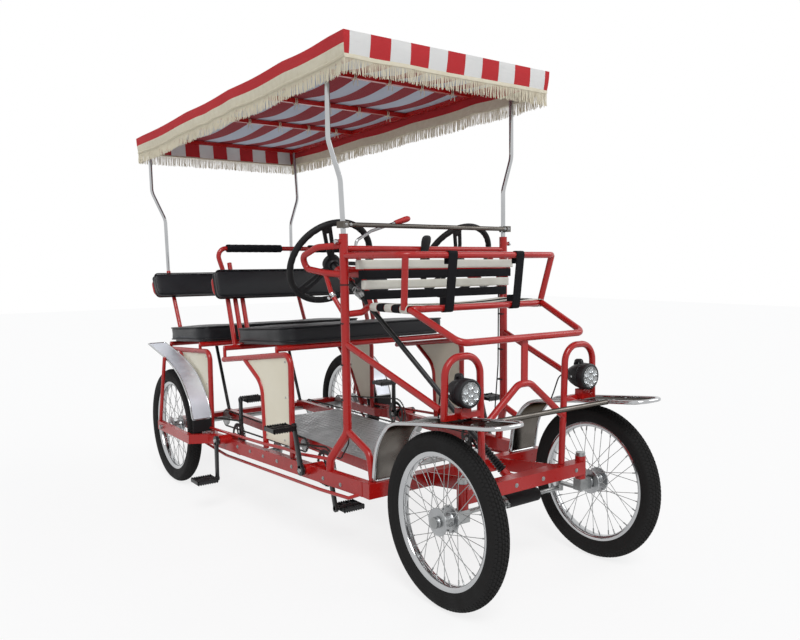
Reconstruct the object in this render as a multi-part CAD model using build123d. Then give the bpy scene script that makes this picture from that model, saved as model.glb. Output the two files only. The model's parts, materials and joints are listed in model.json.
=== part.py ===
from build123d import *
from math import cos, radians, sin
import os

# A four-wheeled pedal surrey with two benches, a child bench over the nose and a fringed canopy.
# Millimetres, +Z up. The vehicle faces -Y, its left is +X, and the floor is Z = 0.
# A station is a distance behind the front axle. The right side (-X) is built, and the left mirrors it.

# ---- wheels ----
tyre_radius = 265.0
tyre_half_width = 30.0
tyre_crown_drop = 9.0
rim_seat_radius = 205.0
rim_depth = 14.0
rim_half_width = 17.0
hub_half_width = 33.0
hub_barrel_radius = 28.0
hub_flange_radius = 42.0
hub_flange_offset = 23.0
hub_flange_thickness = 5.0
spoke_count = 36
spoke_radius = 1.3
spoke_lead = 52.0               # how far round a spoke runs between hub and rim, degrees
axle_radius = 10.0
front_track_half = 338.0
rear_track_half = 486.0
wheelbase = 1815.0

# ---- fits ----
running_gap = 0.05              # radial clearance of a pin in its bore
seat_gap = 0.3                  # between pieces that meet without touching
clear_gap = 5.5                 # between pieces that move past each other

# ---- canopy ----
canopy_nose = 338.0
canopy_tail = 2346.0
canopy_half_width = 452.0
canopy_front_height = 1735.0
canopy_rear_height = 1670.0
canopy_skin = 4.0
valance_drop = 132.0            # striped band and fringe together
canopy_bar = 18.0
canopy_bar_inset = 34.0
canopy_bar_stations = (420.0, 740.0, 1190.0, 1640.0, 2266.0)
pole_radius = 8.5
pole_bend = 90.0
front_pole = [(371.0, 497.0, 1299.0), (415.0, 498.0, 1427.0), (414.0, 500.0, 1690.0)]
rear_pole = [(360.0, 2222.0, 1247.0), (417.0, 2242.0, 1387.0), (416.0, 2262.0, 1636.0)]

# ---- tubes ----
post_radius = 15.0
tube_radius = 11.0
thin_radius = 8.0
guard_radius = 6.0

# ---- steering ----
kingpin_x = 265.0
kingpin_radius = 10.0
kingpin_tube_radius = 18.0
kingpin_tube_bottom = 286.0
kingpin_tube_top = 364.0
kingpin_cap_radius = 16.0
kingpin_cap_height = 12.0
yoke_half = 16.0
yoke_bottom = 246.0
hub_cap_radius = 17.0
hub_cap_thickness = 6.0
arm_length = 92.0
arm_thickness = 8.0
arm_width = 22.0
tie_rod_radius = 8.0
tie_rod_drop = 15.0
tie_rod_eye_radius = 13.0
tie_rod_pin_radius = 5.0
damper_radius = 23.0
damper_length = 150.0
damper_x = 75.0
steering_wheel_x = 297.0
steering_hub_station = 690.0
steering_hub_height = 1026.0
column_slope = 30.0             # above level, degrees
steering_wheel_radius = 160.0
steering_rim_radius = 12.0
steering_spoke_width = 26.0
column_radius = 13.0
column_length = 196.0
joint_ball_radius = 14.0
joint_offset = 8.0               # from the end of the column to the middle of the joint
sleeve_radius = 19.0
sleeve_start = 60.0
sleeve_end = 150.0
shaft_radius = 9.0
shaft_foot = (-40.0, 62.0, 352.0)
bellows_radius = 17.0
bellows_length = 105.0
foot_bearing_radius = 15.0
foot_bearing_length = 30.0

# ---- chassis ----
beam_depth = 44.0
beam_bottom = 304.0
beam_top = 348.0
rail_width = 30.0
rail_height = 50.0
rail_nose = (-385.0, 322.0, 288.0)
rail_tail = (-460.0, 1400.0, 268.0)
member_width = 40.0
stay_width = 20.0
stay_height = 40.0
outer_stay_x = 543.0
inner_stay_x = 430.0
fork_run = 84.0
stay_end = 1872.0
centre_beam_x = 200.0
centre_beam_width = 24.0
centre_beam_height = 40.0
centre_beam_top = 300.0
cross_bar_stations = (560.0, 1010.0, 1460.0)
floor_thickness = 3.0
floor_front = 420.0
floor_back = 1500.0
link_plate_x = 150.0
link_plate_thickness = 8.0
link_plate_rise = 6.0

# ---- cranks ----
crank_length = 158.0
crank_spread = 113.0
arm_blade_width = 24.0
arm_blade_thickness = 12.0
arm_boss_radius = 19.0
spindle_radius = 8.0
shell_radius = 20.0
pedal_length = 76.0
pedal_width = 88.0
pedal_thickness = 20.0
pedal_bar = 9.0
chainring_radius = 62.0
chainring_thickness = 3.0
ring_offset = 0.5               # of a chain's inner face from the chainring's
chain_thickness = 7.0
chain_depth = 8.0
freewheel_radius = 34.0
jackshaft_station = 1030.0
jack_front_radius = 30.0
jack_rear_radius = 24.0
front_crank = {"x": -450.0, "station": 662.0, "height": 290.0, "lean": 17.0}
rear_crank = {"x": -510.0, "station": 1278.0, "height": 292.0, "lean": 180.0}

# ---- posts and dash ----
post_x = 366.0
post_station = 490.0
post_top = 1120.0
post_foot = (-401.0, 544.0)
post_knee = 446.0
post_ankle = 348.0
branch_radius = 12.0
dash_heights = (1000.0, 1070.0)
wind_bar_height = 1150.0
wind_bar_lead = 18.0
elbow_x = 440.0
hoop_x = 258.0
hoop_half = 72.0
hoop_top = 746.0
hoop_station = 8.0
hoop_foot = 560.0
lamp_x = 266.0
lamp_height = 640.0
lamp_radius = 44.0
lamp_length = 104.0
lamp_face = -38.0

# ---- child bench ----
child_half_width = 338.0
child_front = 190.0
child_arm_height = 1047.0
child_seat_height = 876.0
child_seat_x = 296.0
foot_bar = (271.0, 2.0, 786.0)
back_row = 430.0                # station of the child bench's backrest
back_flare = 12.0
back_bands = 4
band_height = 30.0
band_pitch = 34.0
band_thickness = 4.0
seat_bands = 5
seat_pitch = 42.0
strap_x = 150.0
strap_width = 38.0

# ---- fenders ----
front_fender_x = 308.0
front_fender_half = 64.0
front_fender_corner = 46.0
fender_skin = 3.0
front_fender_line = [(-252.0, 585.0), (60.0, 549.0), (232.0, 521.0), (300.0, 436.0), (317.0, 316.0)]
rear_fender_half = 42.0
rear_fender_line = [(2045.0, 634.0), (1780.0, 582.0), (1625.0, 524.0), (1520.0, 425.0), (1490.0, 346.0)]
stay_foot = 1862.0
guard_tail = 1618.0
stay_head = (1796.0, 592.0)
flap_length = 56.0
flap_thickness = 5.0

# ---- benches ----
bench_rows = {
    "front": {"station": 862.0, "depth": 474.0, "half": 398.0, "low": 716.0, "tilt": 4.2,
              "frame": ((-413.0, 792.0, 690.0), (-448.0, 1320.0, 622.0)), "joint": 1142.0,
              "knee": (1000.0, 556.0),
              "foot": 985.0, "foot_drop": 8.0, "back_station": 1365.0, "back_half": 445.0, "back_low": 880.0,
              "back_lean": 18.0, "stay_x": 348.0, "stays": ((0.0, 1025.0), (34.0, 862.0))},
    "rear": {"station": 1600.0, "depth": 430.0, "half": 440.0, "low": 672.0, "tilt": 4.0,
             "frame": ((-430.0, 1515.0, 636.0), (-430.0, 2160.0, 598.0)), "joint": 1873.0,
             "knee": (1700.0, 450.0),
             "foot": 1606.0, "foot_drop": 0.0, "back_station": 2100.0, "back_half": 455.0, "back_low": 868.0,
             "back_lean": 27.0, "stay_x": 369.0, "stays": ((-13.0, 862.0), (13.0, 984.0))},
}
cushion_thickness = 74.0
cushion_corner = 55.0
back_thickness = 40.0
stay_radius = 10.0
back_height = 128.0
back_corner = 18.0
panel_thickness = 6.0
panel_lift = 40.0
frame_bend = 40.0
knee_bend = 90.0
ring_inset = 26.0
brace_foot = 1850.0
stub_radius = 7.0
grab_x = 382.0
grab_half = 412.0
grab_shoulder = 990.0
grab_height = 1089.0
foam_spans = ((-362.0, -98.0), (43.0, 317.0))
foam_radius = 17.0

front_axle_y = (tyre_radius - canopy_tail) / 2   # the middle of the whole length is Y = 0
axle_height = tyre_radius
member_front = rail_nose[1] - member_width / 2
member_back = rail_nose[1] + member_width / 2
rail_top = rail_nose[2] + rail_height / 2
rail_bottom = rail_nose[2] - rail_height / 2

nodes = {}


def at(x, station, z):
    return Vector(x, front_axle_y + station, z)


def solids_of(shape):
    return [Solid(s.wrapped) for s in shape.solids()]


def largest(shape):
    return max(solids_of(shape), key=lambda s: s.volume)


def group(*shapes):
    """Several solids of one node."""
    return Compound(children=[s for shape in shapes for s in solids_of(shape)])


def mirrored(shape):
    return mirror(shape, about=Plane.YZ)


def both(shape):
    return group(shape, mirrored(shape))


def flip(route):
    return [(-x, station, z) for x, station, z in route]


def tube(route, radius, bend=None):
    """A round bar along straight runs joined by tangent arcs."""
    spots = [at(*p) for p in route]
    path = Line(*spots) if len(spots) == 2 else FilletPolyline(*spots, radius=bend)
    return sweep(Plane(origin=path @ 0, z_dir=path % 0) * Circle(radius), path=path)


def level_plane(start, end):
    """A plane across the line from start to end, with its X kept level."""
    a = at(*start)
    along = (at(*end) - a).normalized()
    level = Vector(0, 0, 1).cross(along)
    if level.length < 0.01:
        level = Vector(1, 0, 0)
    return Plane(origin=a, z_dir=along, x_dir=level)


def bar(start, end, width, height):
    """A straight rectangular bar."""
    return extrude(level_plane(start, end) * Rectangle(width, height), (at(*end) - at(*start)).length)


def parted(shape, *gaps):
    """A shape cut by thin slabs, given as x positions, so that each length is its own solid."""
    for x in gaps:
        shape -= Pos(x, 0, 0) * Box(seat_gap, 2 * canopy_tail, 2 * canopy_front_height)
    return shape


def closed_loop(route, radius, bend):
    """Section and path of a round tube that closes on itself."""
    path = FilletPolyline(*[at(*p) for p in route], radius=bend, close=True)
    return Plane(origin=path @ 0, z_dir=path % 0) * Circle(radius), path


def pin(start, end, radius):
    """A straight round bar."""
    return extrude(level_plane(start, end) * Circle(radius), (at(*end) - at(*start)).length)


def block(low, high):
    """A box between two corners given as x, station, height."""
    a = at(*low)
    b = at(*high)
    size = b - a
    return Pos(*((a + b) / 2)) * Box(abs(size.X), abs(size.Y), abs(size.Z))


def bent_sheet(line, x, half, skin):
    """A sheet as wide as 2 * half that follows a line of (station, height, bend radius)."""
    spots = [at(0, s, z) for s, z in line]
    path = FilletPolyline(*spots, radius=sheet_bends(line))
    strip = sweep(Plane(origin=path @ 0, z_dir=path % 0, x_dir=(1, 0, 0)) * Rectangle(2 * half, skin),
                  path=path)
    return Pos(x, 0, 0) * strip


def sheet_bends(line):
    """Bend radii that leave each corner a little under half of its shorter run."""
    radii = []
    for before, here, after in zip(line, line[1:], line[2:]):
        a = Vector(here[0] - before[0], here[1] - before[1], 0)
        b = Vector(after[0] - here[0], after[1] - here[1], 0)
        half_turn = radians(a.get_angle(b) / 2)
        radii.append(0.45 * min(a.length, b.length) * cos(half_turn) / sin(half_turn))
    return radii


# ---- wheels ----
def tyre_shape():
    seat = rim_seat_radius + seat_gap
    bead = rim_half_width - 2.0
    wide = (tyre_radius + rim_seat_radius) / 2 + tyre_crown_drop
    low = rim_seat_radius + 0.37 * (tyre_radius - rim_seat_radius)
    shoulder = tyre_radius - tyre_crown_drop
    half = tyre_half_width
    with BuildPart() as part:
        with BuildSketch(Plane.XZ):
            with BuildLine():
                Line((seat, -bead), (seat, bead))
                ThreePointArc((seat, bead), (low, half - 3.0), (wide, half))
                ThreePointArc((wide, half), (shoulder, half - tyre_crown_drop), (tyre_radius, 0))
                ThreePointArc((tyre_radius, 0), (shoulder, tyre_crown_drop - half), (wide, -half))
                ThreePointArc((wide, -half), (low, 3.0 - half), (seat, -bead))
            make_face()
        revolve(axis=Axis.Z)
    return part.part


def wire_wheel_shape():
    """Rim, crossed spokes and hub in one piece, bored for the axle."""
    inner = rim_seat_radius - rim_depth
    wheel = Cylinder(rim_seat_radius, 2 * rim_half_width) - Cylinder(inner, 2 * rim_half_width + 1)
    wheel += Cylinder(hub_barrel_radius, 2 * hub_half_width)
    for side in (-1, 1):
        wheel += Pos(0, 0, side * hub_flange_offset) * Cylinder(hub_flange_radius, hub_flange_thickness)
    root = hub_flange_radius - hub_flange_thickness
    reach = inner + rim_depth / 2
    for n in range(spoke_count):
        side = 1 if n % 2 else -1
        rim_turn = radians(360.0 / spoke_count * n)
        hub_turn = rim_turn + radians(spoke_lead if (n // 2) % 2 else -spoke_lead)
        a = Vector(root * cos(hub_turn), root * sin(hub_turn), side * hub_flange_offset)
        b = Vector(reach * cos(rim_turn), reach * sin(rim_turn), side * 3.0)
        wheel += extrude(Plane(origin=a, z_dir=(b - a).normalized()) * Circle(spoke_radius), (b - a).length)
    return wheel - Cylinder(axle_radius + running_gap, 2 * hub_half_width + 1)


tyre = tyre_shape()
wire_wheel = wire_wheel_shape()
wheel_places = {
    "front_right": (-front_track_half, 0.0),
    "front_left": (front_track_half, 0.0),
    "rear_right": (-rear_track_half, wheelbase),
    "rear_left": (rear_track_half, wheelbase),
}
for name, (x, station) in wheel_places.items():
    place = Plane(origin=at(x, station, axle_height), z_dir=(1, 0, 0), x_dir=(0, 0, 1)).location
    nodes[f"tyre_{name}"] = place * tyre
    nodes[f"wire_wheel_{name}"] = place * wire_wheel

# ---- knuckles ----
arm_middle = yoke_bottom + arm_thickness / 2
yoke_top = kingpin_tube_bottom - seat_gap
cap_bottom = kingpin_tube_top + seat_gap
cap_top = cap_bottom + kingpin_cap_height
hub_inner = hub_half_width - front_track_half + seat_gap
hub_outer = -hub_half_width - front_track_half - seat_gap
rod_height = yoke_bottom - tie_rod_drop
eye_bottom = rod_height - tie_rod_radius
rod_pin_top = yoke_bottom + arm_thickness + hub_cap_thickness

knuckle = pin((-kingpin_x, 0, yoke_bottom), (-kingpin_x, 0, cap_top), kingpin_radius)
knuckle += pin((-kingpin_x, 0, cap_bottom), (-kingpin_x, 0, cap_top), kingpin_cap_radius)
knuckle += block((hub_inner, -yoke_half, yoke_bottom), (yoke_half - kingpin_x, yoke_half, yoke_top))
knuckle += pin((-kingpin_x, 0, axle_height), (hub_outer - hub_cap_thickness, 0, axle_height), axle_radius)
knuckle += pin((hub_outer, 0, axle_height), (hub_outer - hub_cap_thickness, 0, axle_height), hub_cap_radius)
knuckle += bar((-kingpin_x, 0, arm_middle), (-kingpin_x, arm_length, arm_middle), arm_width, arm_thickness)
knuckle += pin((-kingpin_x, arm_length, yoke_bottom), (-kingpin_x, arm_length, yoke_bottom + arm_thickness),
               tie_rod_eye_radius)
knuckle -= pin((-kingpin_x, arm_length, eye_bottom), (-kingpin_x, arm_length, rod_pin_top),
               tie_rod_pin_radius + running_gap)
nodes["knuckle_right"] = knuckle
nodes["knuckle_left"] = mirrored(knuckle)

# ---- tie rod with its damper ----
rod_eye = pin((-kingpin_x, arm_length, eye_bottom), (-kingpin_x, arm_length, yoke_bottom - seat_gap),
              tie_rod_eye_radius)
rod_eye += pin((-kingpin_x, arm_length, eye_bottom), (-kingpin_x, arm_length, rod_pin_top),
               tie_rod_pin_radius)
tie_rod = pin((-kingpin_x, arm_length, rod_height), (kingpin_x, arm_length, rod_height), tie_rod_radius)
nodes["tie_rod"] = tie_rod + rod_eye + mirrored(rod_eye)
damper_ends = [(damper_x - damper_length / 2, arm_length, rod_height),
               (damper_x + damper_length / 2, arm_length, rod_height)]
nodes["damper"] = pin(*damper_ends, damper_radius) - pin(*damper_ends, tie_rod_radius)

# ---- crossbeam with the kingpin tubes ----
beam_middle = (beam_bottom + beam_top) / 2
kingpin_tube = pin((-kingpin_x, 0, kingpin_tube_bottom), (-kingpin_x, 0, kingpin_tube_top),
                   kingpin_tube_radius)
kingpin_bore = pin((-kingpin_x, 0, yoke_bottom), (-kingpin_x, 0, cap_top), kingpin_radius + running_gap)
crossbeam = bar((-kingpin_x, 0, beam_middle), (kingpin_x, 0, beam_middle), beam_depth,
                beam_top - beam_bottom)
crossbeam = crossbeam + kingpin_tube + mirrored(kingpin_tube) - kingpin_bore - mirrored(kingpin_bore)

# ---- cross members and the plates that carry the crossbeam ----
member_half = rail_width / 2 - rail_nose[0]
front_member = block((-member_half, member_front, rail_bottom), (member_half, member_back, rail_top))
plate_front = front_axle_y + beam_depth / 2 + seat_gap
plate_back = front_axle_y + member_front - seat_gap
link_plate = extrude(Plane.YZ.offset(-link_plate_x) * Polygon(
    (plate_front, beam_top), (plate_back, rail_top), (plate_back, rail_bottom + link_plate_rise),
    (plate_front, beam_bottom), align=None), link_plate_thickness)
rear_member = block((-inner_stay_x, stay_end + seat_gap, axle_height - stay_height / 2),
                    (inner_stay_x, stay_end + member_width, axle_height + stay_height / 2))
beam_z = centre_beam_top - centre_beam_height / 2
beam_inner = centre_beam_x - centre_beam_width / 2 - seat_gap
cross_bars = [bar((-beam_inner, s, beam_z), (beam_inner, s, beam_z), centre_beam_width,
                  centre_beam_height / 2)
              for s in cross_bar_stations]
nodes["cross_members"] = group(front_member, both(link_plate), rear_member, *cross_bars)


# ---- side rails with the crank shells ----
def on_rail(station):
    share = (station - rail_nose[1]) / (rail_tail[1] - rail_nose[1])
    return tuple(a + (b - a) * share for a, b in zip(rail_nose, rail_tail))


def rail_top_at(station):
    return on_rail(station)[2] + rail_height / 2


def shell_ends(crank):
    """The crank shell between the outer arm and the chainring."""
    outer = crank["x"] + arm_blade_thickness / 2 + clear_gap
    inner = crank["x"] + crank_spread - arm_blade_thickness / 2 - chainring_thickness - 3 * clear_gap
    return (outer, crank["station"], crank["height"]), (inner, crank["station"], crank["height"])


rail = bar(on_rail(member_back + seat_gap + 1.5), rail_tail, rail_width, rail_height)
rail_clear = bar(on_rail(member_front), on_rail(rail_tail[1] + 2 * seat_gap), rail_width + 2 * seat_gap,
                 rail_height + 2 * seat_gap)
member_clear = block((-member_half, member_front, rail_bottom),
                     (member_half, member_back, rail_top + seat_gap))
for crank in (front_crank, rear_crank):
    rail += pin(*shell_ends(crank), shell_radius)
for crank in (front_crank, rear_crank):
    rail -= pin(*shell_ends(crank), spindle_radius + running_gap)
    rail_clear += pin(*shell_ends(crank), shell_radius + seat_gap)
nodes["side_rails"] = both(rail)

# ---- forks round the rear wheels, axle, centre beams, floor ----
axle_bore = pin((-outer_stay_x - stay_height, wheelbase, axle_height),
                (outer_stay_x + stay_height, wheelbase, axle_height), axle_radius)
fork_start = rail_tail[1] - 2.0
fork_end = rail_tail[1] + fork_run
fork_runs = [((rail_tail[0], fork_start), (rail_tail[0] - 14.0, fork_end - 28.0)),
             ((rail_tail[0] - 13.0, fork_end - 36.0), (-outer_stay_x, fork_end + 4.0)),
             ((-outer_stay_x, fork_end - 7.0), (-outer_stay_x, stay_end)),
             ((rail_tail[0] + 4.0, fork_start), (-inner_stay_x, fork_end)),
             ((-inner_stay_x, fork_end - 4.0), (-inner_stay_x, stay_end))]
stays = [bar((*a, axle_height), (*b, axle_height), stay_width, stay_height) for a, b in fork_runs]
fork = stays[0] + stays[1:]
nodes["rear_forks"] = both(fork - axle_bore - rail_clear)
fork_reach = stay_height / 2 + seat_gap
fork_clear = block((-outer_stay_x - stay_width, rail_tail[1], axle_height - fork_reach),
                   (0, stay_end + member_width, axle_height + fork_reach))
axle_end = outer_stay_x + stay_width / 2 + hub_cap_thickness * 2
centre_beam = bar((-centre_beam_x, member_back + seat_gap, beam_z), (-centre_beam_x, stay_end, beam_z),
                  centre_beam_width, centre_beam_height)
nodes["centre_beams"] = both(centre_beam - axle_bore)
floor_half = centre_beam_x + centre_beam_width / 2
nodes["floor_plate"] = block((-floor_half, floor_front, centre_beam_top + seat_gap),
                             (floor_half, floor_back, centre_beam_top + seat_gap + floor_thickness))


# ---- rear axle, jackshafts and chains ----
def disc(x, station, height, radius, bore):
    """A sprocket as thick as a chain, from x inwards."""
    ends = [(x, station, height), (x + chain_thickness, station, height)]
    return pin(*ends, radius) - pin(*ends, bore)


def chain_loop(x, *rings):
    """A chain as a thin band round sprockets given as (station, height, radius)."""
    bands = []
    for depth in (chain_depth, 0):
        circles = [Pos(front_axle_y + s, z) * Circle(r + depth) for s, z, r in rings]
        bands.append(make_hull([edge for circle in circles for edge in circle.edges()]))
    return extrude(Plane.YZ.offset(x) * (bands[0] - bands[1]), chain_thickness)


def ring_x(crank):
    """Inner face of a crankset's chainring, in X."""
    return crank["x"] + crank_spread - arm_blade_thickness / 2 - clear_gap


outer_chain_x = ring_x(rear_crank) - chain_thickness - ring_offset
front_chain_x = ring_x(front_crank) - chain_thickness - ring_offset
inner_chain_x = -centre_beam_x - centre_beam_width - chain_thickness - clear_gap
sprockets = [disc(x, wheelbase, axle_height, freewheel_radius, axle_radius + running_gap)
             for x in (outer_chain_x, inner_chain_x)]
axle = pin((-axle_end, wheelbase, axle_height), (axle_end, wheelbase, axle_height), axle_radius)
nodes["rear_axle"] = group(axle, *[both(sprocket) for sprocket in sprockets])
shaft_ends = [(on_rail(jackshaft_station)[0] + rail_width / 2 + 1.0, jackshaft_station, beam_z),
              (-beam_inner - centre_beam_width - 2 * seat_gap, jackshaft_station, beam_z)]
jack_sprockets = [disc(front_chain_x, jackshaft_station, beam_z, jack_front_radius,
                       spindle_radius + running_gap),
                  disc(inner_chain_x, jackshaft_station, beam_z, jack_rear_radius,
                       spindle_radius + running_gap)]
nodes["jackshafts"] = group(both(pin(*shaft_ends, spindle_radius)), *[both(item) for item in jack_sprockets])
chain_inner = chainring_radius + clear_gap
axle_ring = (wheelbase, axle_height, freewheel_radius + seat_gap)
chains = [chain_loop(front_chain_x, (front_crank["station"], front_crank["height"], chain_inner),
                     (jackshaft_station, beam_z, jack_front_radius + seat_gap)),
          chain_loop(inner_chain_x, (jackshaft_station, beam_z, jack_rear_radius + seat_gap), axle_ring),
          chain_loop(outer_chain_x, (rear_crank["station"], rear_crank["height"], chain_inner), axle_ring)]
nodes["drive_chains"] = group(*[both(chain) for chain in chains])


# ---- cranksets ----
def crankset(x, station, height, lean):
    """Two opposed arms with cage pedals on one spindle; lean turns the outer arm back from upright."""
    half = arm_blade_thickness / 2
    inner_x = x + crank_spread
    body = pin((x - half, station, height), (inner_x + half, station, height), spindle_radius)
    face = inner_x - half - clear_gap
    body += pin((face - chainring_thickness, station, height), (face, station, height), chainring_radius)
    for face_x, out, turn in ((x, -1, lean), (inner_x, 1, lean + 180.0)):
        tip_station = station + crank_length * sin(radians(turn))
        tip_height = height + crank_length * cos(radians(turn))
        body += bar((face_x, station, height), (face_x, tip_station, tip_height), arm_blade_thickness,
                    arm_blade_width)
        body += pin((face_x - half, station, height), (face_x + half, station, height), arm_boss_radius)
        body += pin((face_x - half, tip_station, tip_height), (face_x + half, tip_station, tip_height),
                    arm_blade_width / 2)
        near = face_x + out * (half + clear_gap)
        far = near + out * pedal_width
        body += pin((face_x, tip_station, tip_height), (far, tip_station, tip_height), guard_radius)
        window = (pedal_length - 3 * pedal_bar) / 2
        cage = Box(pedal_width, pedal_length, pedal_thickness)
        opening = Box(pedal_width - 2 * pedal_bar, window, pedal_thickness)
        for side in (-1, 1):
            cage -= Pos(0, side * (window + pedal_bar) / 2, 0) * opening
        body += Pos(*at((near + far) / 2, tip_station, tip_height)) * cage
    return body


for label, crank in (("front", front_crank), ("rear", rear_crank)):
    shape = crankset(**crank)
    nodes[f"crankset_{label}_right"] = shape
    nodes[f"crankset_{label}_left"] = mirrored(shape)

# ---- posts, braces, dash ----
post_route = [(-post_x, post_station, post_top), (-post_x, post_station - 8.0, post_knee),
              (post_foot[0] + 1.0, post_foot[1] - 4.0, post_ankle), (*post_foot, rail_top - 8.0)]
post = tube(post_route, post_radius, [60.0, 34.0]) - rail_clear
post_clear = tube(post_route, post_radius + seat_gap, [60.0, 34.0])
posts_clear = post_clear + mirrored(post_clear)
brace = tube([(-post_x, post_station - 4.0, 752.0), (-hoop_x - hoop_half, 24.0, hoop_foot + 30.0)],
             tube_radius)
branch = tube([(-post_x, post_station - 8.0, post_knee + 8.0), (-post_x, member_back + 8.0, 402.0),
               (-post_x, member_back - branch_radius + 2.0, rail_top)], branch_radius, 40.0)
nodes["posts"] = group(both(post - member_clear), both(brace - post_clear),
                       both(branch - post_clear - member_clear))
dash = [tube([(-post_x, post_station, z), (post_x, post_station, z)], tube_radius) for z in dash_heights]
dash_space = [tube([(-post_x, post_station, z), (post_x, post_station, z)], tube_radius + seat_gap)
              for z in dash_heights]
column_lean = radians(column_slope)
column_way = (0, cos(column_lean), sin(column_lean))


def on_column(distance, side=-1):
    """A point of the steering column, ahead of the hub by a distance."""
    return (side * steering_wheel_x, steering_hub_station - distance * column_way[1],
            steering_hub_height - distance * column_way[2])


sleeve = pin(on_column(sleeve_start), on_column(sleeve_end), sleeve_radius)
sleeve_middle = on_column((sleeve_start + sleeve_end) / 2)
hanger = block((-steering_wheel_x - 5.0, post_station, sleeve_middle[2]),
               (-steering_wheel_x + 5.0, sleeve_middle[1], dash_heights[0] + 4.0))
sleeve += hanger
sleeve -= pin(on_column(0), on_column(column_length + 20.0), column_radius + running_gap)
for bar_space in dash_space:
    sleeve -= bar_space
column_space = pin(on_column(0), on_column(column_length + 20.0), column_radius + clear_gap)
dash_bars = [item - posts_clear - column_space - mirrored(column_space) for item in dash]
nodes["dash_frame"] = group(*dash_bars, both(largest(sleeve)))
wind_station = post_station - wind_bar_lead
wind_bar = tube([(-post_x, wind_station, wind_bar_height), (post_x, wind_station, wind_bar_height)],
                thin_radius)
for side in (-1, 1):
    wind_bar += block((side * (post_x - 6.0), wind_station - thin_radius, wind_bar_height - tube_radius),
                      (side * (post_x + 16.0), post_station + 16.0, wind_bar_height + tube_radius))
    x, station, z = front_pole[0]
    wind_bar -= pin((side * post_x, post_station, post_top), (side * x, station, z), pole_radius + seat_gap)
nodes["wind_bar"] = wind_bar - posts_clear
loop = tube([(-post_x, post_station, 1082.0), (-428.0, 560.0, 1076.0), (-elbow_x, 640.0, 1046.0),
             (-424.0, 640.0, 1004.0), (-400.0, 556.0, 990.0), (-post_x, post_station, 984.0)],
            tube_radius, [40.0, 26.0, 22.0, 30.0])
loop += tube([(-400.0, 556.0, 990.0), (-388.0, 536.0, 920.0), (-post_x, post_station, 846.0)], thin_radius,
             60.0)
nodes["elbow_guards"] = both(loop - post_clear)


# ---- steering wheels and the shaft ----
joint_middle = at(*on_column(column_length + joint_offset))


def steering_wheel_shape():
    plane = Plane(origin=at(*on_column(0)), z_dir=column_way, x_dir=(1, 0, 0)).location
    wheel = Torus(steering_wheel_radius, steering_rim_radius)
    for turn in (-90.0, 30.0, 150.0):
        spoke = Pos(steering_wheel_radius / 2, 0, -4.0) * Box(steering_wheel_radius, steering_spoke_width,
                                                              8.0)
        wheel += Rot(0, 0, turn) * spoke
    wheel += Pos(0, 0, -8.0) * Cylinder(34.0, 30.0)
    ball = Pos(*joint_middle) * Sphere(joint_ball_radius)
    return plane * wheel + pin(on_column(0), on_column(column_length), column_radius) + ball


steering_wheel = steering_wheel_shape()
nodes["steering_wheel_right"] = steering_wheel
nodes["steering_wheel_left"] = mirrored(steering_wheel)
shaft_way = (at(*shaft_foot) - joint_middle).normalized()
shaft_end = at(*shaft_foot) + shaft_way * foot_bearing_length
shaft = extrude(Plane(origin=joint_middle, z_dir=shaft_way) * Circle(shaft_radius),
                (shaft_end - joint_middle).length)
bellows_top = at(*shaft_foot) - shaft_way * bellows_length
bellows = extrude(Plane(origin=bellows_top, z_dir=shaft_way) * Circle(bellows_radius),
                  bellows_length - seat_gap)
joint_cup = Pos(*joint_middle) * Sphere(joint_ball_radius + seat_gap)
nodes["steering_shaft"] = shaft + bellows - joint_cup
bearing = extrude(Plane(origin=at(*shaft_foot), z_dir=shaft_way) * Circle(foot_bearing_radius),
                  foot_bearing_length)
bearing += block((shaft_foot[0] - 10.0, beam_depth / 2 + seat_gap, beam_bottom + 8.0),
                 (shaft_foot[0] + 26.0, shaft_foot[1] - 12.0, beam_top - 6.0))
bearing -= extrude(Plane(origin=at(*shaft_foot) - shaft_way * foot_bearing_length, z_dir=shaft_way)
                   * Circle(shaft_radius + running_gap), 3 * foot_bearing_length)
nodes["front_crossbeam"] = group(crossbeam, bearing)

# ---- side tubes ----
step_route = [(post_foot[0], post_foot[1] - 6.0, post_ankle), (-430.0, 700.0, 339.0), (-430.0, 838.0, 334.0),
              (-445.0, 962.0, 329.0), (-448.0, 1512.0, 300.0)]
step_rail = tube(step_route, guard_radius, [120.0, 200.0, 200.0])
step_space = tube(step_route, guard_radius + seat_gap, [120.0, 200.0, 200.0])
lower_guard = tube([(rail_nose[0] - 8.0, rail_nose[1] + 34.0, rail_bottom + 6.0), (-420.0, 395.0, 250.0),
                    (-428.0, 572.0, 239.0), (-440.0, 1340.0, 206.0), (-434.0, 1590.0, 214.0),
                    (-inner_stay_x, guard_tail, axle_height - stay_height / 2 - seat_gap)],
                   guard_radius, [20.0, 200.0, 400.0, 14.0])
nodes["step_rails"] = both(step_rail - post_clear - rail_clear)
nodes["lower_guards"] = both(lower_guard - rail_clear - fork_clear)

# ---- lamp hoops, centre hoop, lamps ----
foot_z = beam_top + 3 * seat_gap


def fender_height(station):
    """Height of the front fender's middle line along its first run."""
    (s0, z0), (s1, z1) = front_fender_line[:2]
    return z0 + (z1 - z0) * (station - s0) / (s1 - s0)


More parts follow.
